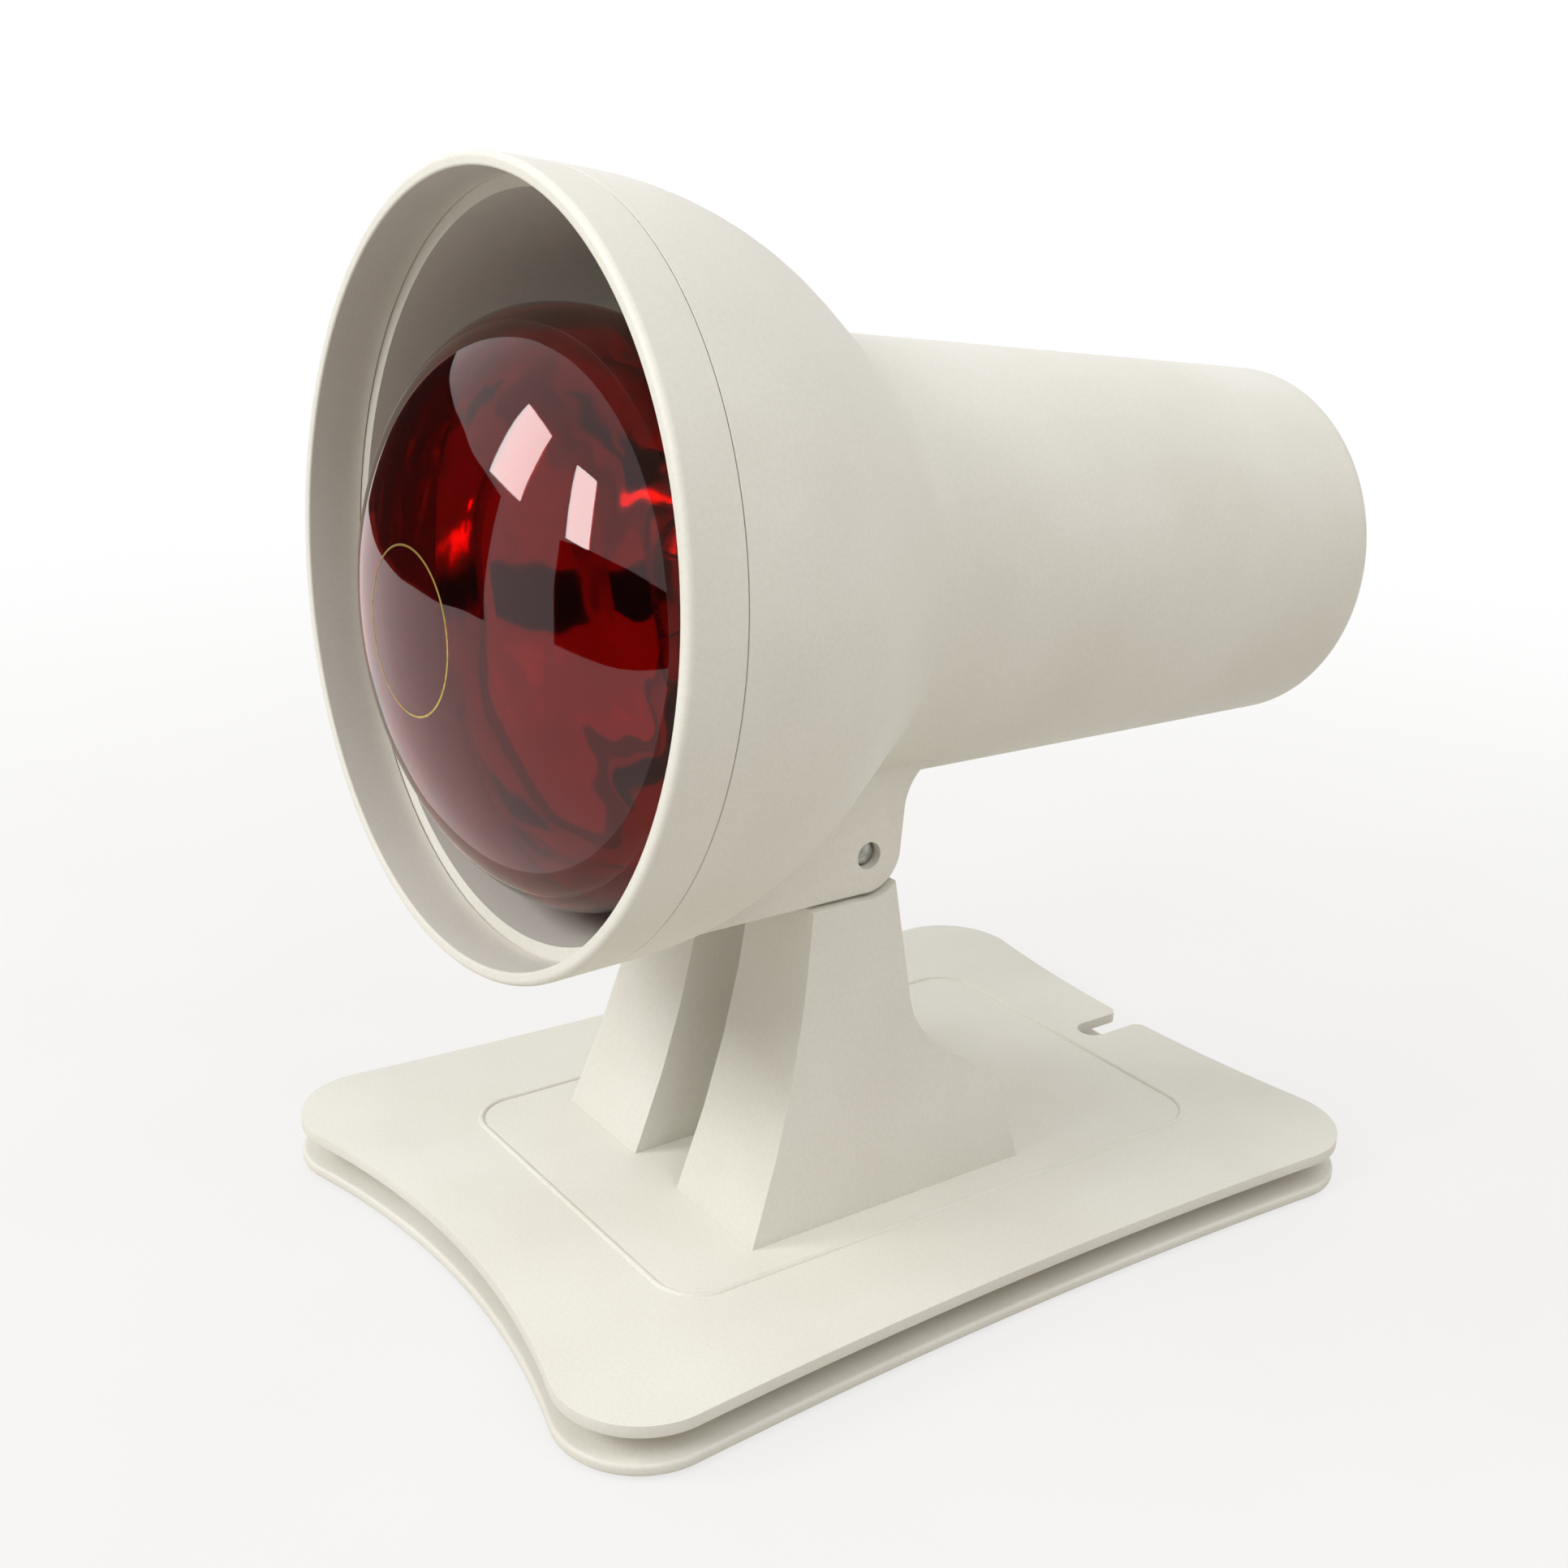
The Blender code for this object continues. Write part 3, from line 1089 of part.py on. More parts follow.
def make_bulb():
    """The bulb: glass, cap, insulator, contact, stem, supports and filament."""
    outside = dome(0.0) + rounded(glass_path())
    inside = dome(GLASS_WALL) + rounded(shifted(glass_path(), GLASS_WALL))
    glass = turned("bulb_glass", outside + inside[::-1], MEDIUM_STEPS)
    finish(along_bulb(glass, BULB_POLE_PLACE), RUBY, PARTS, BULB_AXIS)

    profile = [
        (-CAP_END_PLACE, CAP_RADIUS - CAP_WALL),
        (-CAP_END_PLACE, CAP_RADIUS),
        (-CAP_START_PLACE, CAP_RADIUS),
        (-CAP_START_PLACE, CAP_RADIUS - CAP_WALL),
    ]
    cap = along_bulb(turned("bulb_cap", profile, MEDIUM_STEPS), 0.0)
    finish(cap, ALUMINIUM, PARTS, BULB_AXIS)

    contact_top = CAP_TIP_PLACE + CONTACT_THICKNESS
    insulator_low = contact_top + SEAT_GAP
    wide = CAP_RADIUS - CAP_WALL - SEAT_GAP
    profile = [
        (-CAP_START_PLACE, 0.0),
        (-CAP_START_PLACE, wide),
        (-insulator_low, INSULATOR_TIP_RADIUS),
        (-insulator_low, 0.0),
    ]
    insulator = along_bulb(turned("cap_insulator", profile, MEDIUM_STEPS // 2), 0.0)
    finish(insulator, BLACK_GLASS, PARTS, BULB_AXIS)
    contact = cylinder("cap_contact", CONTACT_RADIUS, CAP_TIP_PLACE, contact_top)
    smooth(finish(along_bulb(contact, 0.0), TIN, PARTS, BULB_AXIS))

    plug_place = BULB_POLE_PLACE - NECK_PLUG_DEPTH - NECK_PLUG_LENGTH
    plug_radius = CAP_RADIUS - CAP_WALL - 2.0 * SEAT_GAP - GLASS_WALL
    plug_top = plug_place + NECK_PLUG_LENGTH / 2.0
    profile = [
        (-STEM_TIP_PLACE, 0.0),
        (-STEM_TIP_PLACE, STEM_RADIUS / 2.0),
        (-STEM_TIP_PLACE + STEM_RADIUS, STEM_RADIUS),
        (-plug_top - plug_radius, STEM_RADIUS),
        (-plug_top, plug_radius),
        (-plug_place, plug_radius),
        (-plug_place, 0.0),
    ]
    stem = along_bulb(turned("bulb_stem", profile, MEDIUM_STEPS // 2), 0.0)
    finish(stem, CLEAR_GLASS, PARTS, BULB_AXIS)
    make_filament()


def make_filament():
    """The filament's open ring, and the wires that carry it from the stem."""
    steps = 24
    start = -FILAMENT_SWEEP / 2.0 + math.pi / 2.0
    angles = [start + FILAMENT_SWEEP * i / steps for i in range(steps + 1)]
    ring = FILAMENT_RING_RADIUS
    path = [(ring * math.cos(a), -FILAMENT_PLACE, ring * math.sin(a)) for a in angles]
    filament = wire("filament", path, FILAMENT_RADIUS)
    finish(filament, TUNGSTEN, PARTS, BULB_AXIS)
    supports = []
    for i in range(SUPPORT_COUNT):
        share = i / (SUPPORT_COUNT - 1)
        angle = start + FILAMENT_SWEEP * share
        away = Vector((math.cos(angle), 0.0, math.sin(angle)))
        foot_radius = STEM_RADIUS + SEAT_GAP + SUPPORT_WIRE_RADIUS
        foot = away * foot_radius
        foot.y = -STEM_TIP_PLACE + 2.0 * STEM_RADIUS
        bend = away * foot_radius
        bend.y = -STEM_TIP_PLACE
        tip = away * ring
        tip.y = -FILAMENT_PLACE + FILAMENT_RADIUS + SUPPORT_WIRE_RADIUS + SEAT_GAP
        supports.append(wire("support", [foot, bend, tip], SUPPORT_WIRE_RADIUS))
    finish_each("support_wire", supports, MOLYBDENUM, BULB_AXIS)


clear_scene()
PARTS = new_collection("infrared_heat_lamp")
CUTTERS = new_collection("cutters")

IVORY = new_material("ivory_plastic", (0.80, 0.78, 0.72), 0.45)
IVORY_DEEP = new_material("ivory_plastic_inner", (0.74, 0.72, 0.66), 0.5)
RUBY = new_material("ruby_glass", (0.45, 0.01, 0.01), 0.05)
STEEL = new_material("steel", (0.55, 0.55, 0.56), 0.35, 1.0)
IRON = new_material("cast_iron", (0.16, 0.16, 0.17), 0.6, 1.0)
RUBBER = new_material("grey_rubber", (0.20, 0.20, 0.20), 0.8)
FIBRE = new_material("fibre", (0.35, 0.12, 0.08), 0.7)
CERAMIC = new_material("ceramic", (0.85, 0.84, 0.80), 0.3)
BRASS = new_material("brass", (0.72, 0.55, 0.25), 0.3, 1.0)
ALUMINIUM = new_material("aluminium", (0.75, 0.75, 0.76), 0.3, 1.0)
TIN = new_material("tin", (0.70, 0.70, 0.68), 0.4, 1.0)
BLACK_GLASS = new_material("black_glass", (0.03, 0.03, 0.04), 0.1)
CLEAR_GLASS = new_material("clear_glass", (0.85, 0.88, 0.88), 0.05)
TUNGSTEN = new_material("tungsten", (0.35, 0.33, 0.30), 0.4, 1.0)
MOLYBDENUM = new_material("molybdenum", (0.45, 0.45, 0.46), 0.4, 1.0)
LEAD_BLUE = new_material("lead_insulation", (0.10, 0.20, 0.45), 0.5)

HEAD = new_empty("head_tilt_axis", (0.0, PIVOT_Y, PIVOT_Z), -REST_TILT)
SEAT = (0.0, SEAT_PLACE - RIM_AHEAD_OF_PIVOT, AXIS_ABOVE_PIVOT)
BULB_AXIS = new_empty("bulb_turn_axis", SEAT, BULB_DROOP, HEAD)

make_plates()
make_base_inside()
make_pylon(1)
make_pylon(-1)
make_pylon_screws()
make_hinge()
make_hood()
make_front_ring()
make_lampholder()
make_bracket()
make_gland_and_leads()
make_bulb()
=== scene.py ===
# %% [markdown]
# # An infrared heat lamp on a table
#
# The lamp has three bodies: a stand of two plates and two pylons, a round plastic head that
# tilts between the pylons, and a ruby bulb that screws into the head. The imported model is
# loaded as a frame. The pieces that show are then made again as fine, smooth meshes in the
# places of the faceted ones, and every piece that stays gets the finish of its real material.

# %% Load the frame
import json
import math

import bmesh
import bpy
from mathutils import Matrix, Vector


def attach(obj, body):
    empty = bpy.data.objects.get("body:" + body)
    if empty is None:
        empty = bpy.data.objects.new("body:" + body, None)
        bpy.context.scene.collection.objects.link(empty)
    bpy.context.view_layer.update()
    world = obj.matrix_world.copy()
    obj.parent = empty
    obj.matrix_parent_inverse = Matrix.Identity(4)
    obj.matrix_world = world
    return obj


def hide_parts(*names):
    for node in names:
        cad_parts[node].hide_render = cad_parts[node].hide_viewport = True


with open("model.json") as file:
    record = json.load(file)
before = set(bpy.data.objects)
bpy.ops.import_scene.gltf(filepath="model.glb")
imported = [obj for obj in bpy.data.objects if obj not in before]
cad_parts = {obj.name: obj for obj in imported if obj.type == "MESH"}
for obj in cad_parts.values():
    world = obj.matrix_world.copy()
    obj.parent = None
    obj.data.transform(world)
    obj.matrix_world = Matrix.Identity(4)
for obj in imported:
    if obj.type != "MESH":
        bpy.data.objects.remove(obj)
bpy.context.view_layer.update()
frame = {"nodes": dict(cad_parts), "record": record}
MM = 0.001

# %% [markdown]
# ## The sizes that the pieces share
#
# The hinge and the bulb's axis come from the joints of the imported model. The other sizes
# repeat the construction, in millimetres, because the fine meshes must lie where it does.

# %% Places of the head and of the bulb
JOINTS = {joint["name"]: joint for joint in frame["record"]["behaviour"]["joints"]}
PIVOT = Vector(JOINTS["head_tilt"]["pos_m"])
SEAT = Vector(JOINTS["bulb_turn"]["pos_m"])
REST_TILT = math.radians(3.5)
BULB_DROOP = math.radians(2.8)
HEAD = Matrix.Translation(PIVOT) @ Matrix.Rotation(-REST_TILT, 4, "X")
BULB = Matrix.Translation(SEAT) @ Matrix.Rotation(BULB_DROOP - REST_TILT, 4, "X")
# A turned piece is drawn with its depth downwards, and LAID turns its depth backwards.
LAID = Matrix.Rotation(math.pi / 2.0, 4, "X")
print("the head tilts about", tuple(round(v, 4) for v in PIVOT))

# %% Sizes of the stand
# The two plates: widths, reaches, the round corners and the long hollow arcs between them.
FRONT_WIDTH, REAR_WIDTH = 123.8 * MM, 121.6 * MM
FRONT_REACH, REAR_REACH = 84.4 * MM, 84.3 * MM
CORNER_RADIUS = 14.5 * MM
FRONT_HOLLOW, REAR_HOLLOW, SIDE_HOLLOW = 156.0 * MM, 270.0 * MM, 1040.0 * MM
LOWER_LOW, LOWER_TOP = 0.8 * MM, 2.9 * MM
UPPER_LOW, PLATE_TOP = 7.8 * MM, 9.9 * MM
PLATE_ROUND = 0.62 * MM
# The raised bead over the winding core's wall, and the notch for the cord behind it.
CORE_HALF_WIDTH, CORE_FRONT, CORE_REAR, CORE_ROUND = 37.6 * MM, 56.7 * MM, 62.2 * MM, 8.0 * MM
BEAD_RADIUS = 0.62 * MM
NOTCH_HALF, NOTCH_END, NOTCH_ROUND = 3.0 * MM, 66.8 * MM, 2.2 * MM
print("the plates are", round((FRONT_REACH + REAR_REACH) / MM, 1), "mm long")

# %% Sizes of the head, counted backwards from the rim
# The rim is ahead of the hinge, and the hood's axis above it.
RIM_AHEAD, AXIS_ABOVE = 64.5 * MM, 45.0 * MM
RIM_RADIUS, RIM_WALL, SEAM = 62.0 * MM, 2.3 * MM, 9.8 * MM
HOOD_WALL, LEDGE = 2.4 * MM, 1.5 * MM
# Corners of the hood's outside: depth behind the rim, radius, and the round of the corner.
SHOULDER = (32.8 * MM, 59.4 * MM, 60.0 * MM)
CREASE = (62.0 * MM, 38.4 * MM, 4.0 * MM)
REAR = (172.0 * MM, 33.5 * MM, 4.5 * MM)
SEAM_GAP = 0.18 * MM
# The two ears under the hood, and the hole that the hinge rod goes through.
EAR_OUTER, EAR_WALL, EAR_CORNER = 23.9 * MM, 2.4 * MM, 6.9 * MM
EAR_REACH, EAR_STRAIGHT, EAR_FILLET = 42.0 * MM, 7.5 * MM, 9.5 * MM
ROD_HOLE = 2.4 * MM
RIM_SLOPE = (RIM_RADIUS - SHOULDER[1]) / SHOULDER[0]
print("the rim is", round(2.0 * RIM_RADIUS / MM, 1), "mm across")

# %% [markdown]
# ## Colours and nodes
#
# A colour is written as the sRGB hex value that a picture of the lamp shows, and one function
# turns it to the linear value that Blender's shaders take. One small helper adds a node with
# its settings and its links, so that a finish reads from top to bottom. Two more build what
# the finishes share: a noise of a real size, and a colour that follows a noise.

# %% Helpers for materials
RGBA = {"data_type": "RGBA"}
MULTIPLY_ADD = {"operation": "MULTIPLY_ADD"}
# Noise seldom leaves 0.3 to 0.7, so a Map Range spreads that span over the range that is wanted.
NOISE_SPAN = {"From_Min": 0.3, "From_Max": 0.7}
EVEN = (1.0, 1.0, 1.0)


def linear(code):
    """The linear colour of an sRGB hex code."""
    parts = [int(code[i : i + 2], 16) / 255.0 for i in (1, 3, 5)]
    return tuple(c / 12.92 if c <= 0.04045 else ((c + 0.055) / 1.055) ** 2.4 for c in parts) + (1.0,)


def add(tree, kind, settings=None, **inputs):
    """A node with its settings. An input is a value, an output, or a node for its first output."""
    node = tree.nodes.new(kind)
    for name, value in (settings or {}).items():
        setattr(node, name, value)
    for name, value in inputs.items():
        label = name.replace("_", " ")
        socket = node.inputs[label] if label in node.inputs else node.inputs[int(name[1:])]
        value = value.outputs[0] if isinstance(value, bpy.types.Node) else value
        if isinstance(value, bpy.types.NodeSocket):
            tree.links.new(value, socket)
        else:
            socket.default_value = value
    return node


def new_material(name):
    """An empty material and its node tree."""
    material = bpy.data.materials.new(name)
    material.use_nodes = True
    material.node_tree.nodes.clear()
    return material, material.node_tree


def real_noise(tree, size_mm, detail, stretch=EVEN):
    """Noise whose lumps are about a real size across, in the object's own coordinates."""
    place = add(tree, "ShaderNodeTexCoord")
    scale = 1.0 / (size_mm * MM)
    sizes = [scale * share for share in stretch]
    mapping = add(tree, "ShaderNodeMapping", Vector=place.outputs["Object"], Scale=sizes)
    texture = add(tree, "ShaderNodeTexNoise", Vector=mapping, Scale=1.0, Detail=detail)
    return texture.outputs["Fac"]


def mottled(tree, noise, low, high):
    """A colour that drifts between two hex codes as a noise does."""
    share = add(tree, "ShaderNodeMapRange", Value=noise, **NOISE_SPAN)
    return add(tree, "ShaderNodeMix", RGBA, i0=share, i6=linear(low), i7=linear(high)).outputs[2]


print("the middle grey #808080 is", round(linear("#808080")[0], 3), "in linear light")

# %% [markdown]
# ## The moulded plastic
#
# The casings are injection-moulded ABS in warm ivory. Its mould was spark-eroded, which leaves
# a fine grain, a soft sheen and no mirror-like shine. Seen close, the colour has faint darker
# specks and drifts a little over the size of a hand. The real grain is finer than this one,
# which is as coarse as it needs to be to show in the picture.

# %% Finish of the casings
def moulded_plastic(name, pale, deep, grain_mm, roughness):
    material, tree = new_material(name)
    drift_mm, drift_share, speck_share = 34.0, 0.55, 0.38
    sheen_mm, sheen_low, sheen_high = 2.4, -0.05, 0.06
    grain_depth, grain_strength = 0.016 * MM, 0.75
    grain = {"size_mm": grain_mm, "detail": 3.0}
    slow = real_noise(tree, drift_mm, 2.0)
    drift = add(tree, "ShaderNodeMapRange", Value=slow, To_Max=drift_share, **NOISE_SPAN)
    specks = add(tree, "ShaderNodeMapRange", Value=real_noise(tree, **grain), **NOISE_SPAN)
    tone = add(tree, "ShaderNodeMath", MULTIPLY_ADD, i0=specks, i1=speck_share, i2=drift)
    color = add(tree, "ShaderNodeMix", RGBA, i0=tone, i6=linear(pale), i7=linear(deep)).outputs[2]
    sheen = {"To_Min": roughness + sheen_low, "To_Max": roughness + sheen_high}
    rough = add(tree, "ShaderNodeMapRange", Value=real_noise(tree, sheen_mm, 2.0), **sheen, **NOISE_SPAN)
    bumps = {"Strength": grain_strength, "Distance": grain_depth}
    relief = add(tree, "ShaderNodeBump", Height=real_noise(tree, **grain), **bumps)
    surface = {"Base_Color": color, "Roughness": rough, "Normal": relief}
    shader = add(tree, "ShaderNodeBsdfPrincipled", IOR=1.5, **surface)
    add(tree, "ShaderNodeOutputMaterial", Surface=shader)
    return material


IVORY_ABS = moulded_plastic("ivory_abs_spark_eroded", "#E8E6DE", "#DBD8CD", 0.62, 0.54)
print("plastic finish:", IVORY_ABS.name)

# %% [markdown]
# ## The metals
#
# A metal takes its look from its colour and from how sharply it mirrors. Zinc plating is
# bright with a faint cloudy bloom, pressed brass tarnishes in patches, and solder is dull. The
# rod is cut from drawn bar and the bulb's cap is drawn sheet, so their marks are pulled out
# along one direction. The blackened iron and the tungsten are dark, the molybdenum is grey.
# Gilt is a thin film of metal powder, so it shines less than solid brass.

# %% Finish of the metal pieces
def worn_metal(name, bright, dull, roughness, patch_mm, stretch=EVEN):
    """Patches of two tones, the duller ones rougher, over finer marks of the same direction."""
    material, tree = new_material(name)
    sheen_low, sheen_high = -0.07, 0.12
    marks_per_patch, mark_depth, mark_strength = 6.0, 0.006 * MM, 0.5
    patches = real_noise(tree, patch_mm, 4.0, stretch)
    color = mottled(tree, patches, bright, dull)
    sheen = {"To_Min": roughness + sheen_low, "To_Max": roughness + sheen_high}
    rough = add(tree, "ShaderNodeMapRange", Value=patches, **sheen, **NOISE_SPAN)
    marks = real_noise(tree, patch_mm / marks_per_patch, 2.0, stretch)
    relief = add(tree, "ShaderNodeBump", Height=marks, Strength=mark_strength, Distance=mark_depth)
    surface = {"Base_Color": color, "Roughness": rough, "Normal": relief}
    shader = add(tree, "ShaderNodeBsdfPrincipled", Metallic=1.0, **surface)
    add(tree, "ShaderNodeOutputMaterial", Surface=shader)
    return material


ZINC_STEEL = worn_metal("zinc_plated_steel", "#C9CBCC", "#9FA2A4", 0.32, 3.0)
DRAWN_STEEL = worn_metal("drawn_steel_bar", "#B9B7B2", "#8B8984", 0.36, 1.2, (0.1, 1.0, 1.0))
CAST_IRON = worn_metal("blackened_iron_plate", "#55565A", "#2E2F32", 0.55, 5.0)
BRASS = worn_metal("pressed_brass", "#E0C078", "#B08A45", 0.28, 4.0)
ALUMINIUM = worn_metal("drawn_aluminium", "#DADBDC", "#B4B6B8", 0.27, 3.0, (1.0, 1.0, 0.2))
SOLDER = worn_metal("dull_solder", "#C4C4C0", "#979793", 0.45, 1.5)
TUNGSTEN = worn_metal("tungsten_wire", "#8D8880", "#5E5A54", 0.4, 0.8)
MOLYBDENUM = worn_metal("molybdenum_wire", "#A6A5A2", "#7C7A77", 0.35, 1.0)
GILT = worn_metal("gilt_print", "#D9BE6A", "#B89A48", 0.38, 0.9)
print("metal finishes:", ZINC_STEEL.name, DRAWN_STEEL.name, BRASS.name, "and six more")

# %% [markdown]
# ## The rubber, ceramic, fibre and sleeves
#
# Moulded rubber is dull and slightly dusty. Glazed steatite is smooth and looks wet over a
# fine unevenness, and so does the black glass of the bulb's insulator, so both have a coat.
# Pressed fibre is brown and matt, and the leads wear a soft blue sleeve.

# %% Finish of the dull pieces
def dull_solid(name, pale, deep, roughness, lump_mm, depth_mm, coat=0.0):
    """One noise gives the tone, the roughness and the relief, so that lumps look like lumps."""
    material, tree = new_material(name)
    sheen_spread, lump_strength = 0.05, 0.6
    lumps = real_noise(tree, lump_mm, 4.0)
    color = mottled(tree, lumps, pale, deep)
    relief = add(tree, "ShaderNodeBump", Height=lumps, Strength=lump_strength, Distance=depth_mm * MM)
    sheen = {"To_Min": roughness - sheen_spread, "To_Max": roughness + sheen_spread}
    rough = add(tree, "ShaderNodeMapRange", Value=lumps, **sheen, **NOISE_SPAN)
    surface = {"Base_Color": color, "Roughness": rough, "Normal": relief}
    shader = add(tree, "ShaderNodeBsdfPrincipled", Coat_Weight=coat, **surface)
    add(tree, "ShaderNodeOutputMaterial", Surface=shader)
    return material


RUBBER = dull_solid("moulded_rubber", "#3A3A3A", "#2B2B2B", 0.75, 1.2, 0.03)
CERAMIC = dull_solid("glazed_steatite", "#F2F0EA", "#E2DFD5", 0.22, 6.0, 0.05, 0.6)
FIBRE = dull_solid("pressed_fibre", "#6E3A2A", "#512A1F", 0.7, 0.8, 0.03)
BLACK_GLASS = dull_solid("black_vitrite", "#17171A", "#0B0B0D", 0.12, 2.0, 0.02, 0.5)
BLUE_SLEEVE = dull_solid("blue_lead_sleeve", "#2F5DA8", "#244C8E", 0.45, 1.5, 0.02)
print("dull finishes:", RUBBER.name, CERAMIC.name, FIBRE.name, BLACK_GLASS.name, BLUE_SLEEVE.name)

# %% [markdown]
# ## The glass
#
# The bulb is blown from ruby glass, which takes out all but the red. Blown glass is smooth
# but never quite even: slow waves, about a centimetre long on the bulb, bend its reflections.
# Behind its widest place its inside is coated with aluminium, a mirror that the ruby front
# colours. The stem inside is clear glass with smaller waves.

# %% Finish of the bulb
def blown_glass(name, tint, wave_mm, depth_mm):
    material, tree = new_material(name)
    streak_share, streak_stretch, streak_roughness = 0.7, (1.0, 0.4, 1.0), 0.045
    waves = real_noise(tree, wave_mm, 1.0)
    relief = add(tree, "ShaderNodeBump", Height=waves, Strength=0.5, Distance=depth_mm * MM)
    streaks = real_noise(tree, wave_mm * streak_share, 2.0, streak_stretch)
    rough = add(tree, "ShaderNodeMapRange", Value=streaks, To_Max=streak_roughness, **NOISE_SPAN)
    surface = {"Base_Color": linear(tint), "Roughness": rough, "Normal": relief}
    shader = add(tree, "ShaderNodeBsdfPrincipled", Transmission_Weight=1.0, IOR=1.5, **surface)
    add(tree, "ShaderNodeOutputMaterial", Surface=shader)
    return material


def wavy_mirror(name, bright, dull, wave_mm, depth_mm):
    """A mirror on blown glass: smooth, but with long waves along it that pull reflections apart."""
    material, tree = new_material(name)
    patch_share, wave_stretch = 1.5, (0.6, 1.3, 0.6)
    patches = real_noise(tree, wave_mm * patch_share, 2.0)
    color = mottled(tree, patches, bright, dull)
    waves = real_noise(tree, wave_mm, 0.6, wave_stretch)
    relief = add(tree, "ShaderNodeBump", Height=waves, Strength=1.0, Distance=depth_mm * MM)
    rough = add(tree, "ShaderNodeMapRange", Value=patches, To_Min=0.04, To_Max=0.12, **NOISE_SPAN)
    surface = {"Base_Color": color, "Roughness": rough, "Normal": relief}
    shader = add(tree, "ShaderNodeBsdfPrincipled", Metallic=1.0, **surface)
    add(tree, "ShaderNodeOutputMaterial", Surface=shader)
    return material


RUBY_GLASS = blown_glass("blown_ruby_glass", "#B02417", 14.0, 0.30)
CLEAR_GLASS = blown_glass("clear_stem_glass", "#F4F8F8", 4.0, 0.1)
MIRROR = wavy_mirror("vapour_coated_mirror", "#F0F0F0", "#CFCFCF", 13.0, 1.3)
print("glass finishes:", RUBY_GLASS.name, CLEAR_GLASS.name, MIRROR.name)

# %% [markdown]
# ## Shapes from paths
#
# Most outlines here are straight runs joined by round corners. A path is a list of corners,
# each with its radius, and one function puts in the arcs. Another moves a path sideways by
# a wall's thickness, so that the inside of a shell follows its outside.

# %% Path helpers
ARC_STEP = math.radians(4.0)


def arc(centre, radius, start, end, steps=None):
    """Points along an arc, both ends included."""
    count = steps or max(2, round(abs(end - start) / ARC_STEP))
    angles = [start + (end - start) * i / count for i in range(count + 1)]
    return [(centre[0] + radius * math.cos(a), centre[1] + radius * math.sin(a)) for a in angles]


def rounded(corners, closed=False):
    """The points of a path of (x, y, radius) corners, with an arc at each corner."""
    points = []
    for i, (x, y, radius) in enumerate(corners):
        here = Vector((x, y))
        if (not closed and i in (0, len(corners) - 1)) or radius <= 0.0:
            points.append((x, y))
            continue
        back = (Vector(corners[i - 1][:2]) - here).normalized()
        ahead = (Vector(corners[(i + 1) % len(corners)][:2]) - here).normalized()
        half = back.angle(ahead) / 2.0
        centre = here + (back + ahead).normalized() * radius / math.sin(half)
        first = here + back * radius / math.tan(half) - centre
        last = here + ahead * radius / math.tan(half) - centre
        start = math.atan2(first.y, first.x)
        turn = math.atan2(first.x * last.y - first.y * last.x, first.dot(last))
        points += arc(centre, radius, start, start + turn)
    return points


def shifted(corners, distance):
    """A path's corners moved to its right-hand side, with their arcs to match."""
    moved = []
    last = len(corners) - 1
    for i, (x, y, radius) in enumerate(corners):
        here = Vector((x, y))
        into = (here - Vector(corners[i - 1][:2])).normalized() if i > 0 else None
        out = (Vector(corners[i + 1][:2]) - here).normalized() if i < last else None
        into, out = into or out, out or into
        normal = (Vector((into.y, -into.x)) + Vector((out.y, -out.x))).normalized()
        place = here + normal * distance / normal.dot(Vector((into.y, -into.x)))
        right = into.x * out.y - into.y * out.x < 0.0
        new_radius = radius - distance if right else radius + distance
        moved.append((place.x, place.y, max(0.0, new_radius) if radius > 0.0 else 0.0))
    return moved


print("a full round takes", round(math.tau / ARC_STEP), "steps of", round(math.degrees(ARC_STEP)), "degrees")

# %% [markdown]
# ## Turned pieces and flat pieces
#
# A turned piece is rings of points with faces between them, closed by a single point where
# the profile meets the axis. A flat piece is an outline lifted into a prism, whose edges a
# Bevel rounds as the mould does. A finished mesh keeps its place in its points.

# %% Mesh helpers
ROUND_STEPS, SMALL_STEPS, SCREW_STEPS = 160, 96, 64
SHARP_ANGLE = math.radians(32.0)
WELD = 0.001 * MM


def new_piece(name, bm, material, matrix=None):
    """A mesh object at the origin, with its place in its mesh."""
    if matrix is not None:
        bmesh.ops.transform(bm, matrix=matrix, verts=bm.verts)
    bmesh.ops.recalc_face_normals(bm, faces=bm.faces)
    if bm.calc_volume(signed=True) < 0.0:
        bmesh.ops.reverse_faces(bm, faces=bm.faces)
    mesh = bpy.data.meshes.new(name)
    bm.to_mesh(mesh)
    bm.free()
    mesh.materials.append(material)
    mesh.shade_smooth()
    mesh.set_sharp_from_angle(angle=SHARP_ANGLE)
    item = bpy.data.objects.new(name, mesh)
    bpy.context.scene.collection.objects.link(item)
    return item


def lathe(profile, steps=ROUND_STEPS):
    """A bmesh turned from (depth, radius) points: closed to a ring if both ends are off the axis."""
    bm = bmesh.new()
    rings = []
    for depth, radius in profile:
        if radius <= 0.0:
            rings.append([bm.verts.new((0.0, 0.0, -depth))])
            continue
        turns = [math.tau * i / steps for i in range(steps)]
        rings.append([bm.verts.new((radius * math.cos(t), radius * math.sin(t), -depth)) for t in turns])
    if profile[0][1] > 0.0 and profile[-1][1] > 0.0:
        rings.append(rings[0])
    for first, second in zip(rings, rings[1:]):
        for i in range(steps):
            j = (i + 1) % steps
            corners = [first[i % len(first)], first[j % len(first)]]
            corners += [second[j % len(second)], second[i % len(second)]]
            unique = list(dict.fromkeys(corners))
            if len(unique) > 2:
                bm.faces.new(unique)
    return bm


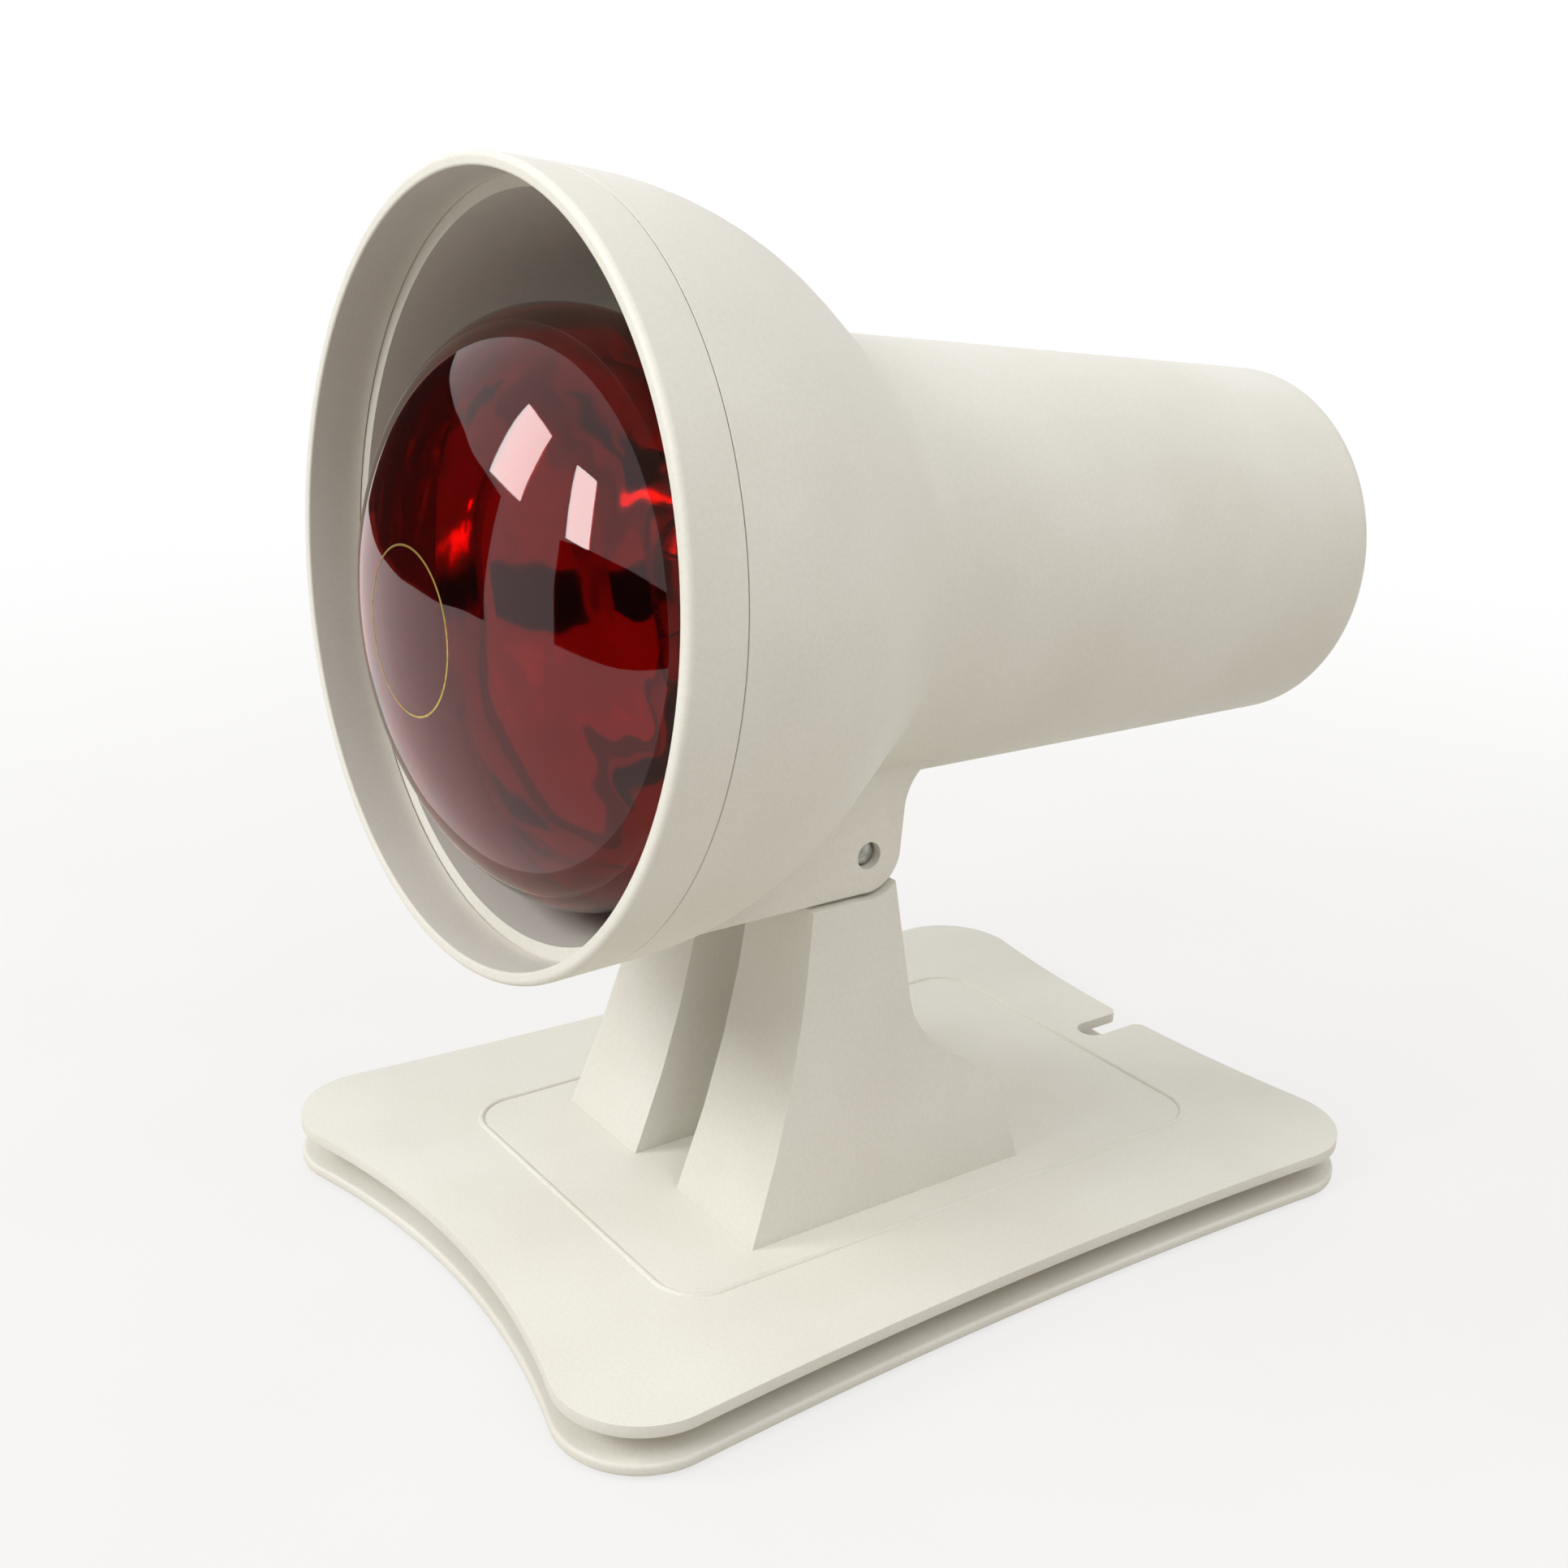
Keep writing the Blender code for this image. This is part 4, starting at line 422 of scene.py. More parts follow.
def prism(loop, low, high):
    """A bmesh prism over a closed outline, from a low to a high height."""
    bm = bmesh.new()
    face = bm.faces.new([bm.verts.new((x, y, low)) for x, y in loop])
    lifted = bmesh.ops.extrude_face_region(bm, geom=[face])["geom"]
    moved = [part for part in lifted if isinstance(part, bmesh.types.BMVert)]
    bmesh.ops.translate(bm, vec=(0.0, 0.0, high - low), verts=moved)
    return bm


def settled(item):
    """The object with its modifiers made part of its mesh, and its edges shaded again."""
    bpy.context.view_layer.update()
    graph = bpy.context.evaluated_depsgraph_get()
    mesh = bpy.data.meshes.new_from_object(item.evaluated_get(graph))
    old = item.data
    item.modifiers.clear()
    item.data = mesh
    mesh.name = item.name
    bpy.data.meshes.remove(old)
    mesh.shade_smooth()
    mesh.set_sharp_from_angle(angle=SHARP_ANGLE)
    return item


def combine(item, tools, operation):
    """Cuts tools out of an object, or joins them on, and removes the tools."""
    for tool in tools:
        boolean = item.modifiers.new("combine", "BOOLEAN")
        boolean.operation = operation
        boolean.solver = "EXACT"
        boolean.object = tool
    settled(item)
    for tool in tools:
        bpy.data.objects.remove(tool)
    bm = bmesh.new()
    bm.from_mesh(item.data)
    bmesh.ops.remove_doubles(bm, verts=bm.verts, dist=WELD)
    bmesh.ops.dissolve_degenerate(bm, edges=bm.edges, dist=WELD)
    bm.to_mesh(item.data)
    open_edges = sum(1 for edge in bm.edges if not edge.is_manifold)
    print(item.name, "is cut or joined, with", open_edges, "open edges")
    bm.free()
    return item


def rounded_edges(item, width, angle=40.0):
    """Rounds an object's edges that turn by more than an angle."""
    bevel = item.modifiers.new("round", "BEVEL")
    bevel.width = width
    bevel.segments = 3
    bevel.limit_method = "ANGLE"
    bevel.angle_limit = math.radians(angle)
    return settled(item)


def dress(item, body, slot, *nodes):
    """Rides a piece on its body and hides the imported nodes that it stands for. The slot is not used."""
    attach(item, body)
    if nodes:
        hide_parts(*nodes)
    print(item.name, "has", len(item.data.polygons), "faces and rides on", body)
    return item


print("turned pieces have", ROUND_STEPS, SMALL_STEPS, "or", SCREW_STEPS, "steps round, by their size")

# %% [markdown]
# ## The two plates of the base
#
# The plates share one outline: four round corners joined by long hollow arcs, each arc just
# touching its two corners. The upper plate carries a raised bead over the winding core's
# wall, and a notch with a round end that holds the cord.

# %% Outline of the plates
HOLLOW_STEPS, MOUTH_STEPS, SLOT_STEPS = 28, 10, 20


def base_outline():
    """The round corners and the hollow arcs that touch them, one after the other."""
    front = (FRONT_WIDTH / 2.0 - CORNER_RADIUS, CORNER_RADIUS - FRONT_REACH)
    rear = (REAR_WIDTH / 2.0 - CORNER_RADIUS, REAR_REACH - CORNER_RADIUS)
    corners = [front, rear, (-rear[0], rear[1]), (-front[0], front[1])]
    hollows = [SIDE_HOLLOW, REAR_HOLLOW, SIDE_HOLLOW, FRONT_HOLLOW]
    centres = []
    for i, hollow in enumerate(hollows):
        start = Vector(corners[i])
        span = Vector(corners[(i + 1) % 4]) - start
        outward = Vector((span.y, -span.x)).normalized()
        reach = math.sqrt((hollow + CORNER_RADIUS) ** 2 - (span.length / 2.0) ** 2)
        centres.append(start + span / 2.0 + outward * reach)
    points = []
    for i, corner in enumerate(corners):
        to_last = centres[i - 1] - Vector(corner)
        to_next = centres[i] - Vector(corner)
        start = math.atan2(to_last.y, to_last.x)
        turn = (math.atan2(to_next.y, to_next.x) - start) % math.tau
        points += arc(corner, CORNER_RADIUS, start, start + turn)
        first = Vector(corner) - centres[i]
        last = Vector(corners[(i + 1) % 4]) - centres[i]
        start = math.atan2(first.y, first.x)
        turn = math.atan2(first.x * last.y - first.y * last.x, first.dot(last))
        points += arc(centres[i], hollows[i], start, start + turn, HOLLOW_STEPS)[1:-1]
    return points


def notch_outline():
    """A slot with a round end, whose mouth opens out in two quarter rounds."""
    corner_x = REAR_WIDTH / 2.0 - CORNER_RADIUS
    corner_y = REAR_REACH - CORNER_RADIUS
    hollow_y = corner_y + math.sqrt((REAR_HOLLOW + CORNER_RADIUS) ** 2 - corner_x**2)
    edge_y = hollow_y - math.sqrt(REAR_HOLLOW**2 - NOTCH_HALF**2)
    mouth_x = NOTCH_HALF + NOTCH_ROUND
    right = arc((mouth_x, edge_y - NOTCH_ROUND), NOTCH_ROUND, math.pi, math.pi / 2.0, MOUTH_STEPS)
    end = arc((0.0, NOTCH_END + NOTCH_HALF), NOTCH_HALF, math.pi, math.tau, SLOT_STEPS)
    beyond = REAR_REACH + NOTCH_ROUND
    return end + right + [(mouth_x, beyond), (-mouth_x, beyond)] + [(-x, y) for x, y in right[::-1]]


print("the plates' outline has", len(base_outline()), "points")

# %% Make the plates
FIT = 0.3 * MM
FOOT_RADIUS, FOOT_POCKET, FOOT_TOP = 5.0 * MM, 0.9 * MM, 1.4 * MM
# Places are front x, rear x, front y and rear y.
FOOT_PLACES = (46.4 * MM, 45.3 * MM, -68.9 * MM, 68.8 * MM)
SCREW_PLACES = (33.1 * MM, 33.1 * MM, -48.7 * MM, 54.2 * MM)
SCREW_SHANK, SCREW_HEAD, SCREW_SINK = 1.3 * MM, 2.7 * MM, 1.6 * MM


def four_places(front_x, rear_x, front_y, rear_y):
    """Two mirrored pairs of places, a front pair and a rear pair."""
    return [(side * x, y) for x, y in ((front_x, front_y), (rear_x, rear_y)) for side in (-1.0, 1.0)]


def screw_profile(grow, overrun=0.0):
    """A countersunk screw whose flat head looks down, or the sink for it when it is grown."""
    tip, shank, head = UPPER_LOW - FIT, SCREW_SHANK + grow, SCREW_HEAD + grow
    points = [(-tip, 0.0), (-tip, shank), (-LOWER_LOW - SCREW_SINK, shank), (-LOWER_LOW, head)]
    if overrun:
        points.append((overrun, head))
    return points + [(points[-1][0], 0.0)]


def make_plates():
    loop = base_outline()
    lower = new_piece("lower_base_plate", prism(loop, LOWER_LOW, LOWER_TOP), IVORY_ABS)
    rounded_edges(lower, PLATE_ROUND)
    cutters = []
    for x, y in four_places(*FOOT_PLACES):
        pocket = [(-LOWER_LOW - FOOT_POCKET, 0.0), (-LOWER_LOW - FOOT_POCKET, FOOT_RADIUS + FIT)]
        pocket += [(LOWER_TOP, FOOT_RADIUS + FIT), (LOWER_TOP, 0.0)]
        place = Matrix.Translation((x, y, 0.0))
        cutters.append(new_piece("foot_pocket", lathe(pocket, SMALL_STEPS), IVORY_ABS, place))
    for x, y in four_places(*SCREW_PLACES):
        sink = lathe(screw_profile(FIT, LOWER_TOP), SCREW_STEPS)
        cutters.append(new_piece("screw_sink", sink, IVORY_ABS, Matrix.Translation((x, y, 0.0))))
    combine(lower, cutters, "DIFFERENCE")
    upper = new_piece("upper_base_plate", prism(loop, UPPER_LOW, PLATE_TOP), IVORY_ABS)
    cutter = prism(notch_outline(), UPPER_LOW - NOTCH_HALF, PLATE_TOP + NOTCH_HALF)
    combine(upper, [new_piece("notch_cutter", cutter, IVORY_ABS)], "DIFFERENCE")
    rounded_edges(upper, PLATE_ROUND, angle=50.0)
    dress(upper, "stand", "ivory", "base_top_plate")
    dress(lower, "stand", "ivory", "base_bottom_plate")


make_plates()

# %% [markdown]
# ## The raised bead
#
# The bead is a round wire of plastic that follows a rounded rectangle and stands a little out
# of the plate. That is a shape along a path, so Geometry Nodes make it: the path is filleted
# by its named radius and a small circle is swept along it.

# %% Make the bead with Geometry Nodes
BEAD_STEPS, BEAD_SUNK, POLY = 16, 0.35, {"mode": "POLY"}


def add_input(tree, name, kind, value):
    """A named input of a tree, whose identifier sets it from a modifier."""
    socket = tree.interface.new_socket(name, in_out="INPUT", socket_type=kind)
    socket.default_value = value
    return socket.identifier


def new_geometry_tree(name):
    """An empty tree that gives out one geometry."""
    tree = bpy.data.node_groups.new(name, "GeometryNodeTree")
    tree.interface.new_socket("Geometry", in_out="OUTPUT", socket_type="NodeSocketGeometry")
    return tree


def run_tree(name, tree, values, material):
    """A plain mesh object from a tree, with the inputs set by their identifiers."""
    item = bpy.data.objects.new(name, bpy.data.meshes.new(name))
    bpy.context.scene.collection.objects.link(item)
    modifier = item.modifiers.new("build", "NODES")
    modifier.node_group = tree
    for identifier, value in values.items():
        modifier[identifier] = value
    settled(item)
    if not item.data.materials:
        item.data.materials.append(material)
    return item


def make_bead():
    tree = new_geometry_tree("bead_on_path")
    sizes = {
        add_input(tree, "Width", "NodeSocketFloat", 0.1): 2.0 * CORE_HALF_WIDTH,
        add_input(tree, "Length", "NodeSocketFloat", 0.1): CORE_FRONT + CORE_REAR,
        add_input(tree, "Corner Radius", "NodeSocketFloat", 0.01): CORE_ROUND,
        add_input(tree, "Bead Radius", "NodeSocketFloat", 0.001): BEAD_RADIUS,
    }
    width, length, corner, radius = tree.nodes.new("NodeGroupInput").outputs[:4]
    path = add(tree, "GeometryNodeCurvePrimitiveQuadrilateral", Width=width, Height=length)
    fillet = add(tree, "GeometryNodeFilletCurve", POLY, Curve=path, Count=BEAD_STEPS, Radius=corner)
    ring = add(tree, "GeometryNodeCurvePrimitiveCircle", Resolution=BEAD_STEPS, Radius=radius)
    tube = add(tree, "GeometryNodeCurveToMesh", Curve=fillet, Profile_Curve=ring)
    centre = (0.0, (CORE_REAR - CORE_FRONT) / 2.0, PLATE_TOP - BEAD_RADIUS * BEAD_SUNK)
    place = add(tree, "GeometryNodeTransform", Geometry=tube, Translation=centre)
    real = add(tree, "GeometryNodeRealizeInstances", Geometry=place)
    finish = add(tree, "GeometryNodeSetMaterial", Geometry=real, Material=IVORY_ABS)
    add(tree, "NodeGroupOutput", i0=finish)
    return dress(run_tree("raised_bead", tree, sizes, IVORY_ABS), "stand", "ivory")


make_bead()

# %% [markdown]
# ## The feet and the screws
#
# The four feet repeat, and so do the four screws of the lower plate. One tree places both: it
# counts four points, puts them in two mirrored pairs from its named sizes, sets a copy of the
# part on each, makes the copies real and gives them their material.

# %% Set feet and screws in fours with Geometry Nodes
FOOT_EDGE = 0.3 * MM
SLOT_SIZE = (3.2 * MM, 0.7 * MM, 2.2 * MM)
GREATER_THAN, FLOORED_MODULO = {"operation": "GREATER_THAN"}, {"operation": "FLOORED_MODULO"}
MULTIPLY = {"operation": "MULTIPLY"}


def four_times(name, part, places, material):
    """Copies of a part on two mirrored pairs of places, as one plain mesh."""
    tree = new_geometry_tree(name)
    labels = ("Front X", "Rear X", "Front Y", "Rear Y")
    values = {add_input(tree, k, "NodeSocketFloat", 0.01): v for k, v in zip(labels, places)}
    front_x, rear_x, front_y, rear_y = tree.nodes.new("NodeGroupInput").outputs[:4]
    index = add(tree, "GeometryNodeInputIndex")
    rear = add(tree, "ShaderNodeMath", GREATER_THAN, i0=index, i1=1.5)
    odd = add(tree, "ShaderNodeMath", FLOORED_MODULO, i0=index, i1=2.0)
    sign = add(tree, "ShaderNodeMath", MULTIPLY_ADD, i0=odd, i1=2.0, i2=-1.0)
    x = add(tree, "ShaderNodeMix", Factor=rear, A=front_x, B=rear_x)
    y = add(tree, "ShaderNodeMix", Factor=rear, A=front_y, B=rear_y)
    side = add(tree, "ShaderNodeMath", MULTIPLY, i0=sign, i1=x)
    place = add(tree, "ShaderNodeCombineXYZ", X=side, Y=y)
    points = add(tree, "GeometryNodePoints", Count=4)
    moved = add(tree, "GeometryNodeSetPosition", Geometry=points, Position=place)
    shape = add(tree, "GeometryNodeObjectInfo", Object=part)
    part_once = shape.outputs["Geometry"]
    copies = add(tree, "GeometryNodeInstanceOnPoints", Points=moved, Instance=part_once)
    real = add(tree, "GeometryNodeRealizeInstances", Geometry=copies)
    finish = add(tree, "GeometryNodeSetMaterial", Geometry=real, Material=material)
    add(tree, "NodeGroupOutput", i0=finish)
    item = run_tree(name, tree, values, material)
    bpy.data.objects.remove(part)
    return item


def make_feet_and_screws():
    top = [(-FOOT_TOP, 0.0, 0.0), (-FOOT_TOP, FOOT_RADIUS, 0.0)]
    sole = [(0.0, FOOT_RADIUS, FOOT_EDGE), (0.0, 0.0, 0.0)]
    foot = new_piece("foot", lathe(rounded(top + sole), SMALL_STEPS), RUBBER)
    feet = four_times("rubber_feet", foot, FOOT_PLACES, RUBBER)
    dress(feet, "stand", "rubber", *(f"rubber_foot_{i}" for i in range(1, 5)))
    screw = new_piece("screw", lathe(screw_profile(0.0), SCREW_STEPS), ZINC_STEEL)
    slots = []
    for turn in (45.0, 135.0):
        bm = bmesh.new()
        bmesh.ops.create_cube(bm, size=1.0)
        bmesh.ops.scale(bm, vec=SLOT_SIZE, verts=bm.verts)
        matrix = Matrix.Translation((0.0, 0.0, LOWER_LOW)) @ Matrix.Rotation(math.radians(turn), 4, "Z")
        slots.append(new_piece("cross_slot", bm, ZINC_STEEL, matrix))
    combine(screw, slots, "DIFFERENCE")
    screws = four_times("base_screws", screw, SCREW_PLACES, ZINC_STEEL)
    dress(screws, "stand", "steel", *(f"base_screw_{i}" for i in range(1, 5)))


make_feet_and_screws()

# %% [markdown]
# ## The pylons
#
# A pylon is a thin-walled moulding: its front curves in slightly, its back runs down in a
# long S, and its outer side leans outwards to a broad foot. On top a round nest clears the ear's
# corner, and a tongue holds the rod. The prism is made from the side view, and the points of
# its outer side are then moved out to the leaning face. It is left solid here, because its
# hollow is never seen.

# %% Make the pylons
# How far out each face is from the middle: the inner one, and the outer one below and above.
PYLON_INNER, PYLON_FOOT, PYLON_TOP = 7.0 * MM, 30.7 * MM, 24.8 * MM
TOP_HEIGHT = 56.2 * MM
PIVOT_HEIGHT = 63.7 * MM
NEST_RADIUS, TONGUE_RADIUS, TONGUE_END = 7.7 * MM, 5.7 * MM, 20.1 * MM
NEST_REACH, PYLON_ROUND, NECK_OVERLAP = 1.2 * PYLON_FOOT, 0.55 * MM, 2.0 * MM
# A side view is drawn in y and z, and SIDEWAYS turns its thickness to x.
SIDEWAYS = Matrix(((0, 0, 1, 0), (1, 0, 0, 0), (0, 1, 0, 0), (0, 0, 0, 1)))


def pylon_path():
    """Corners of the side view: y, height above the plate, and the radius of the round."""
    shape = [(-38.1, 0.0, 0.0), (-27.2, 27.2, 205.0), (-23.7, 56.2, 0.0), (-11.9, 56.2, 0.0)]
    shape += [(-6.4, 58.6, 0.0), (-2.6, 30.2, 14.5), (16.6, 17.2, 16.0), (21.1, 0.0, 0.0)]
    return [(y * MM, z * MM, r * MM) for y, z, r in shape]


def outer_x(height):
    """How far out the leaning face is at a height above the plate."""
    return PYLON_FOOT + (PYLON_TOP - PYLON_FOOT) * height / TOP_HEIGHT


def x_cylinder(name, radius, half_length, centre, steps=SMALL_STEPS):
    """A cylinder along x, to cut with."""
    profile = [(-half_length, 0.0), (-half_length, radius), (half_length, radius), (half_length, 0.0)]
    matrix = Matrix.Translation(centre) @ Matrix.Rotation(math.pi / 2.0, 4, "Y")
    return new_piece(name, lathe(profile, steps), IVORY_ABS, matrix)


def make_pylon(side, name, node):
    bm = prism(rounded(pylon_path()), 0.0, PYLON_FOOT)
    for vert in bm.verts:
        vert.co.z = side * (PYLON_INNER if vert.co.z <= 0.0 else outer_x(vert.co.y))
    bmesh.ops.translate(bm, vec=(0.0, PLATE_TOP, 0.0), verts=bm.verts)
    pylon = new_piece(name, bm, IVORY_ABS, SIDEWAYS)
    combine(pylon, [x_cylinder("nest_cutter", NEST_RADIUS, NEST_REACH, PIVOT)], "DIFFERENCE")
    rounded_edges(pylon, PYLON_ROUND, angle=34.0)
    neck = PIVOT_HEIGHT - TOP_HEIGHT + NECK_OVERLAP
    loop = arc((PIVOT.y, PIVOT.z), TONGUE_RADIUS, 0.0, math.pi)
    loop += [(PIVOT.y - TONGUE_RADIUS, PIVOT.z - neck), (PIVOT.y + TONGUE_RADIUS, PIVOT.z - neck)]
    low, high = sorted((side * PYLON_INNER, side * TONGUE_END))
    tongue = new_piece("tongue", prism(loop, low, high), IVORY_ABS, SIDEWAYS)
    combine(pylon, [tongue], "UNION")
    combine(pylon, [x_cylinder("rod_cutter", ROD_HOLE, PYLON_FOOT, PIVOT, steps=48)], "DIFFERENCE")
    dress(pylon, "stand", "ivory", node)


make_pylon(1.0, "pylon_right", "right_pylon")
make_pylon(-1.0, "pylon_left", "left_pylon")

# %% [markdown]
# ## The hood
#
# The hood is one moulding: a bowl with a round shoulder, a crease, a slightly tapered
# cylinder behind, and two ears below for the hinge. Its outside and inside are one closed
# profile, so the turned shape is a real wall. The ears are joined on before the hood is
# bored out, so nothing of them stands inside it.

# %% Make the hood
RIM_EDGE, EAR_ROUND = 0.12 * MM, 0.45 * MM
GLAND_DROP, GLAND_HOLE, GLAND_CUT = 17.0 * MM, 5.5 * MM, 3.0 * HOOD_WALL


def hood_path(start):
    """Corners of the hood's outside, from a place behind the rim to the axis at the rear."""
    rim = (start, RIM_RADIUS - RIM_SLOPE * start, 0.0)
    return [rim, SHOULDER, CREASE, REAR, (REAR[0], 0.0, 0.0)]


def head_matrix(place, drop=0.0):
    """The place of a turned piece behind the rim, on the hood's axis or some way below it."""
    return HEAD @ Matrix.Translation((0.0, place - RIM_AHEAD, AXIS_ABOVE - drop)) @ LAID


def ear_outline():
    """An ear seen from the side, round below the hinge and running up into the bowl."""
    down = -math.pi / 2.0 - REST_TILT
    points = arc((0.0, 0.0), EAR_CORNER, down, 0.0)
    fillet_x = EAR_CORNER + EAR_FILLET
    points += arc((fillet_x, EAR_STRAIGHT), EAR_FILLET, math.pi, math.pi / 2.0)
    top = AXIS_ABOVE - CREASE[1] / 2.0
    toe = points[0][1] - (EAR_REACH + points[0][0]) * math.tan(REST_TILT)
    return points + [(fillet_x, top), (-EAR_REACH, top), (-EAR_REACH, toe)]


def make_hood():
    start = SEAM + SEAM_GAP / 2.0
    outside = hood_path(start)
    inside = shifted(outside, HOOD_WALL)
    lip = RIM_RADIUS - RIM_SLOPE * start - RIM_WALL - LEDGE
    inside[0] = (start, lip, 0.0)
    rim = [(start, lip + RIM_EDGE, 0.0), (start, outside[0][1], RIM_EDGE)]
    outer_points = rounded(rim + outside[1:])
    solid = [(start, 0.0)] + outer_points
    hood = new_piece("hood", lathe(solid), IVORY_ABS, head_matrix(0.0))
    ears = []
    for side in (-1.0, 1.0):
        low, high = sorted((side * (EAR_OUTER - EAR_WALL), side * EAR_OUTER))
        ear = new_piece("ear", prism(ear_outline(), low, high), IVORY_ABS, HEAD @ SIDEWAYS)
        ears.append(rounded_edges(ear, EAR_ROUND, angle=50.0))
    combine(hood, ears, "UNION")
    bore = [(start - RIM_WALL, 0.0), (start - RIM_WALL, lip)] + rounded(inside)
    combine(hood, [new_piece("bore", lathe(bore), IVORY_ABS, head_matrix(0.0))], "DIFFERENCE")
    half = EAR_OUTER + RIM_WALL
    gland_path = [(-GLAND_CUT, 0.0), (-GLAND_CUT, GLAND_HOLE), (GLAND_CUT, GLAND_HOLE), (GLAND_CUT, 0.0)]
    gland = lathe(gland_path, SCREW_STEPS)
    holes = [x_cylinder("ear_hole", ROD_HOLE, half, PIVOT, SCREW_STEPS)]
    holes.append(new_piece("gland_hole", gland, IVORY_ABS, head_matrix(REAR[0], GLAND_DROP)))
    combine(hood, holes, "DIFFERENCE")
    dress(hood, "head", "ivory", "hood_shell")


make_hood()

# %% [markdown]
# ## The front ring, the cord's sleeve and the hinge rod
#
# These three are turned from one closed profile each, and what makes them look right is the
# round of every corner. The ring has a soft round at the rim and nearly none at the seam, so
# that the seam reads as a fine dark line. The rubber sleeve has a flange on each side of the
# rear wall. The rod's ends have only a small round.

# %% Turn the ring, the sleeve and the rod
SLEEVE_BORE, SLEEVE_BODY, SLEEVE_THICK, SLEEVE_GAP = 3.3 * MM, 5.2 * MM, 1.6 * MM, 0.3 * MM
INNER_FLANGE, OUTER_FLANGE = 6.1 * MM, 7.0 * MM
ROD_RADIUS, ROD_RECESS, ROD_EDGE = 2.1 * MM, 1.5 * MM, 0.35 * MM


def make_ring():
    """The ring in front of the seam: each corner is depth, radius and round."""
    end = SEAM - SEAM_GAP / 2.0
    inner = RIM_RADIUS - RIM_WALL
    corners = [
        (end, inner, 0.2 * MM),
        (0.0, inner, 0.45 * MM),
        (0.0, RIM_RADIUS, 1.05 * MM),
        (end, RIM_RADIUS - RIM_SLOPE * end, 0.12 * MM),
    ]
    ring = new_piece("rim_ring", lathe(rounded(corners, closed=True)), IVORY_ABS, head_matrix(0.0))
    dress(ring, "head", "ivory", "front_ring")


def make_gland():
    """The rubber sleeve that lines the cord's hole, with a rounded flange on each side."""
    front = -HOOD_WALL - SLEEVE_GAP
    corners = [
        (front - SLEEVE_THICK, SLEEVE_BORE, 0.4 * MM),
        (front - SLEEVE_THICK, INNER_FLANGE, 0.4 * MM),
        (front, INNER_FLANGE, 0.1 * MM),
        (front, SLEEVE_BODY, 0.1 * MM),
        (SLEEVE_GAP, SLEEVE_BODY, 0.1 * MM),
        (SLEEVE_GAP, OUTER_FLANGE, 0.1 * MM),
        (SLEEVE_GAP + SLEEVE_THICK, OUTER_FLANGE, 0.7 * MM),
        (SLEEVE_GAP + SLEEVE_THICK, SLEEVE_BORE, 0.5 * MM),
    ]
    profile = lathe(rounded(corners, closed=True), SMALL_STEPS)
    gland = new_piece("cord_sleeve", profile, RUBBER, head_matrix(REAR[0], GLAND_DROP))
    dress(gland, "head", "rubber", "cord_gland")


def make_rod():
    """The drawn rod through the ears and tongues, which ends a little inside the ears."""
    end = EAR_OUTER - ROD_RECESS
    corners = [(-end, 0.0, 0.0), (-end, ROD_RADIUS, ROD_EDGE)]
    corners += [(end, ROD_RADIUS, ROD_EDGE), (end, 0.0, 0.0)]
    matrix = Matrix.Translation(PIVOT) @ Matrix.Rotation(math.pi / 2.0, 4, "Y")
    rod = new_piece("steel_rod", lathe(rounded(corners), SMALL_STEPS), DRAWN_STEEL, matrix)
    dress(rod, "stand", "steel", "hinge_rod")


make_ring()
make_gland()
make_rod()

# %% [markdown]
# ## The bulb
#
# The glass is blown: a flattened dome in front, a round shoulder at its widest place, a
# cone, and a neck that goes into the cap. The mirror is a thin shell just inside the glass
# from behind the widest place to the neck. A plain gilt ring lies on the middle of the dome.

# %% Make the glass and its mirror
BULB_PLACE, BULB_RADIUS, DOME_DEPTH, DOME_STEPS = 152.0 * MM, 47.5 * MM, 26.7 * MM, 44
GLASS_WALL, MIRROR_BEHIND = 0.9 * MM, 0.06 * MM
MIRROR_FILM, MIRROR_START = 0.12 * MM, 1.5 * MM
RING_RADIUS, RING_WIDTH, RING_LOW, RING_HIGH = 12.9 * MM, 0.32 * MM, 0.005 * MM, 0.03 * MM
# Corners of the glass behind the dome, in millimetres: depth behind the tip, radius and round.
GLASS = [(26.7, 47.5, 0.0), (34.0, 47.5, 23.0), (84.0, 17.0, 18.0)]
GLASS += [(103.5, 15.4, 1.6), (106.0, 12.2, 1.6), (109.5, 12.2, 0.0)]
GLASS = [(d * MM, r * MM, e * MM) for d, r, e in GLASS]


def bulb_matrix():
    """The place of a turned piece whose depth counts from the tip of the bulb."""
    return BULB @ Matrix.Translation((0.0, -BULB_PLACE, 0.0)) @ LAID


def dome(wall):
    """The front of the glass, or its inside when a wall's thickness is given."""
    angles = [math.pi / 2.0 * i / DOME_STEPS for i in range(DOME_STEPS)]
    height = DOME_DEPTH - wall
    return [(DOME_DEPTH - height * math.cos(a), (BULB_RADIUS - wall) * math.sin(a)) for a in angles]


def make_glass():
    outside = dome(0.0) + rounded(GLASS)
    inside = dome(GLASS_WALL) + rounded(shifted(GLASS, GLASS_WALL))
    glass = new_piece("ruby_bulb", lathe(outside + inside[::-1]), RUBY_GLASS, bulb_matrix())
    dress(glass, "bulb", "ruby_glass", "bulb_glass")
    coat = GLASS_WALL + MIRROR_BEHIND
    front = [(GLASS[0][0] + MIRROR_START, GLASS[0][1], 0.0)] + GLASS[1:4]
    near = rounded(shifted(front, coat))
    far = rounded(shifted(front, coat + MIRROR_FILM))
    mirror = new_piece("bulb_mirror", lathe(near + far[::-1]), MIRROR, bulb_matrix())
    dress(mirror, "bulb", "ruby_glass")


def on_dome(radius, lift):
    """A profile point at a radius, lifted a little off the front of the dome."""
    angle = math.asin(radius / BULB_RADIUS)
    return (DOME_DEPTH - DOME_DEPTH * math.cos(angle) - lift, radius)


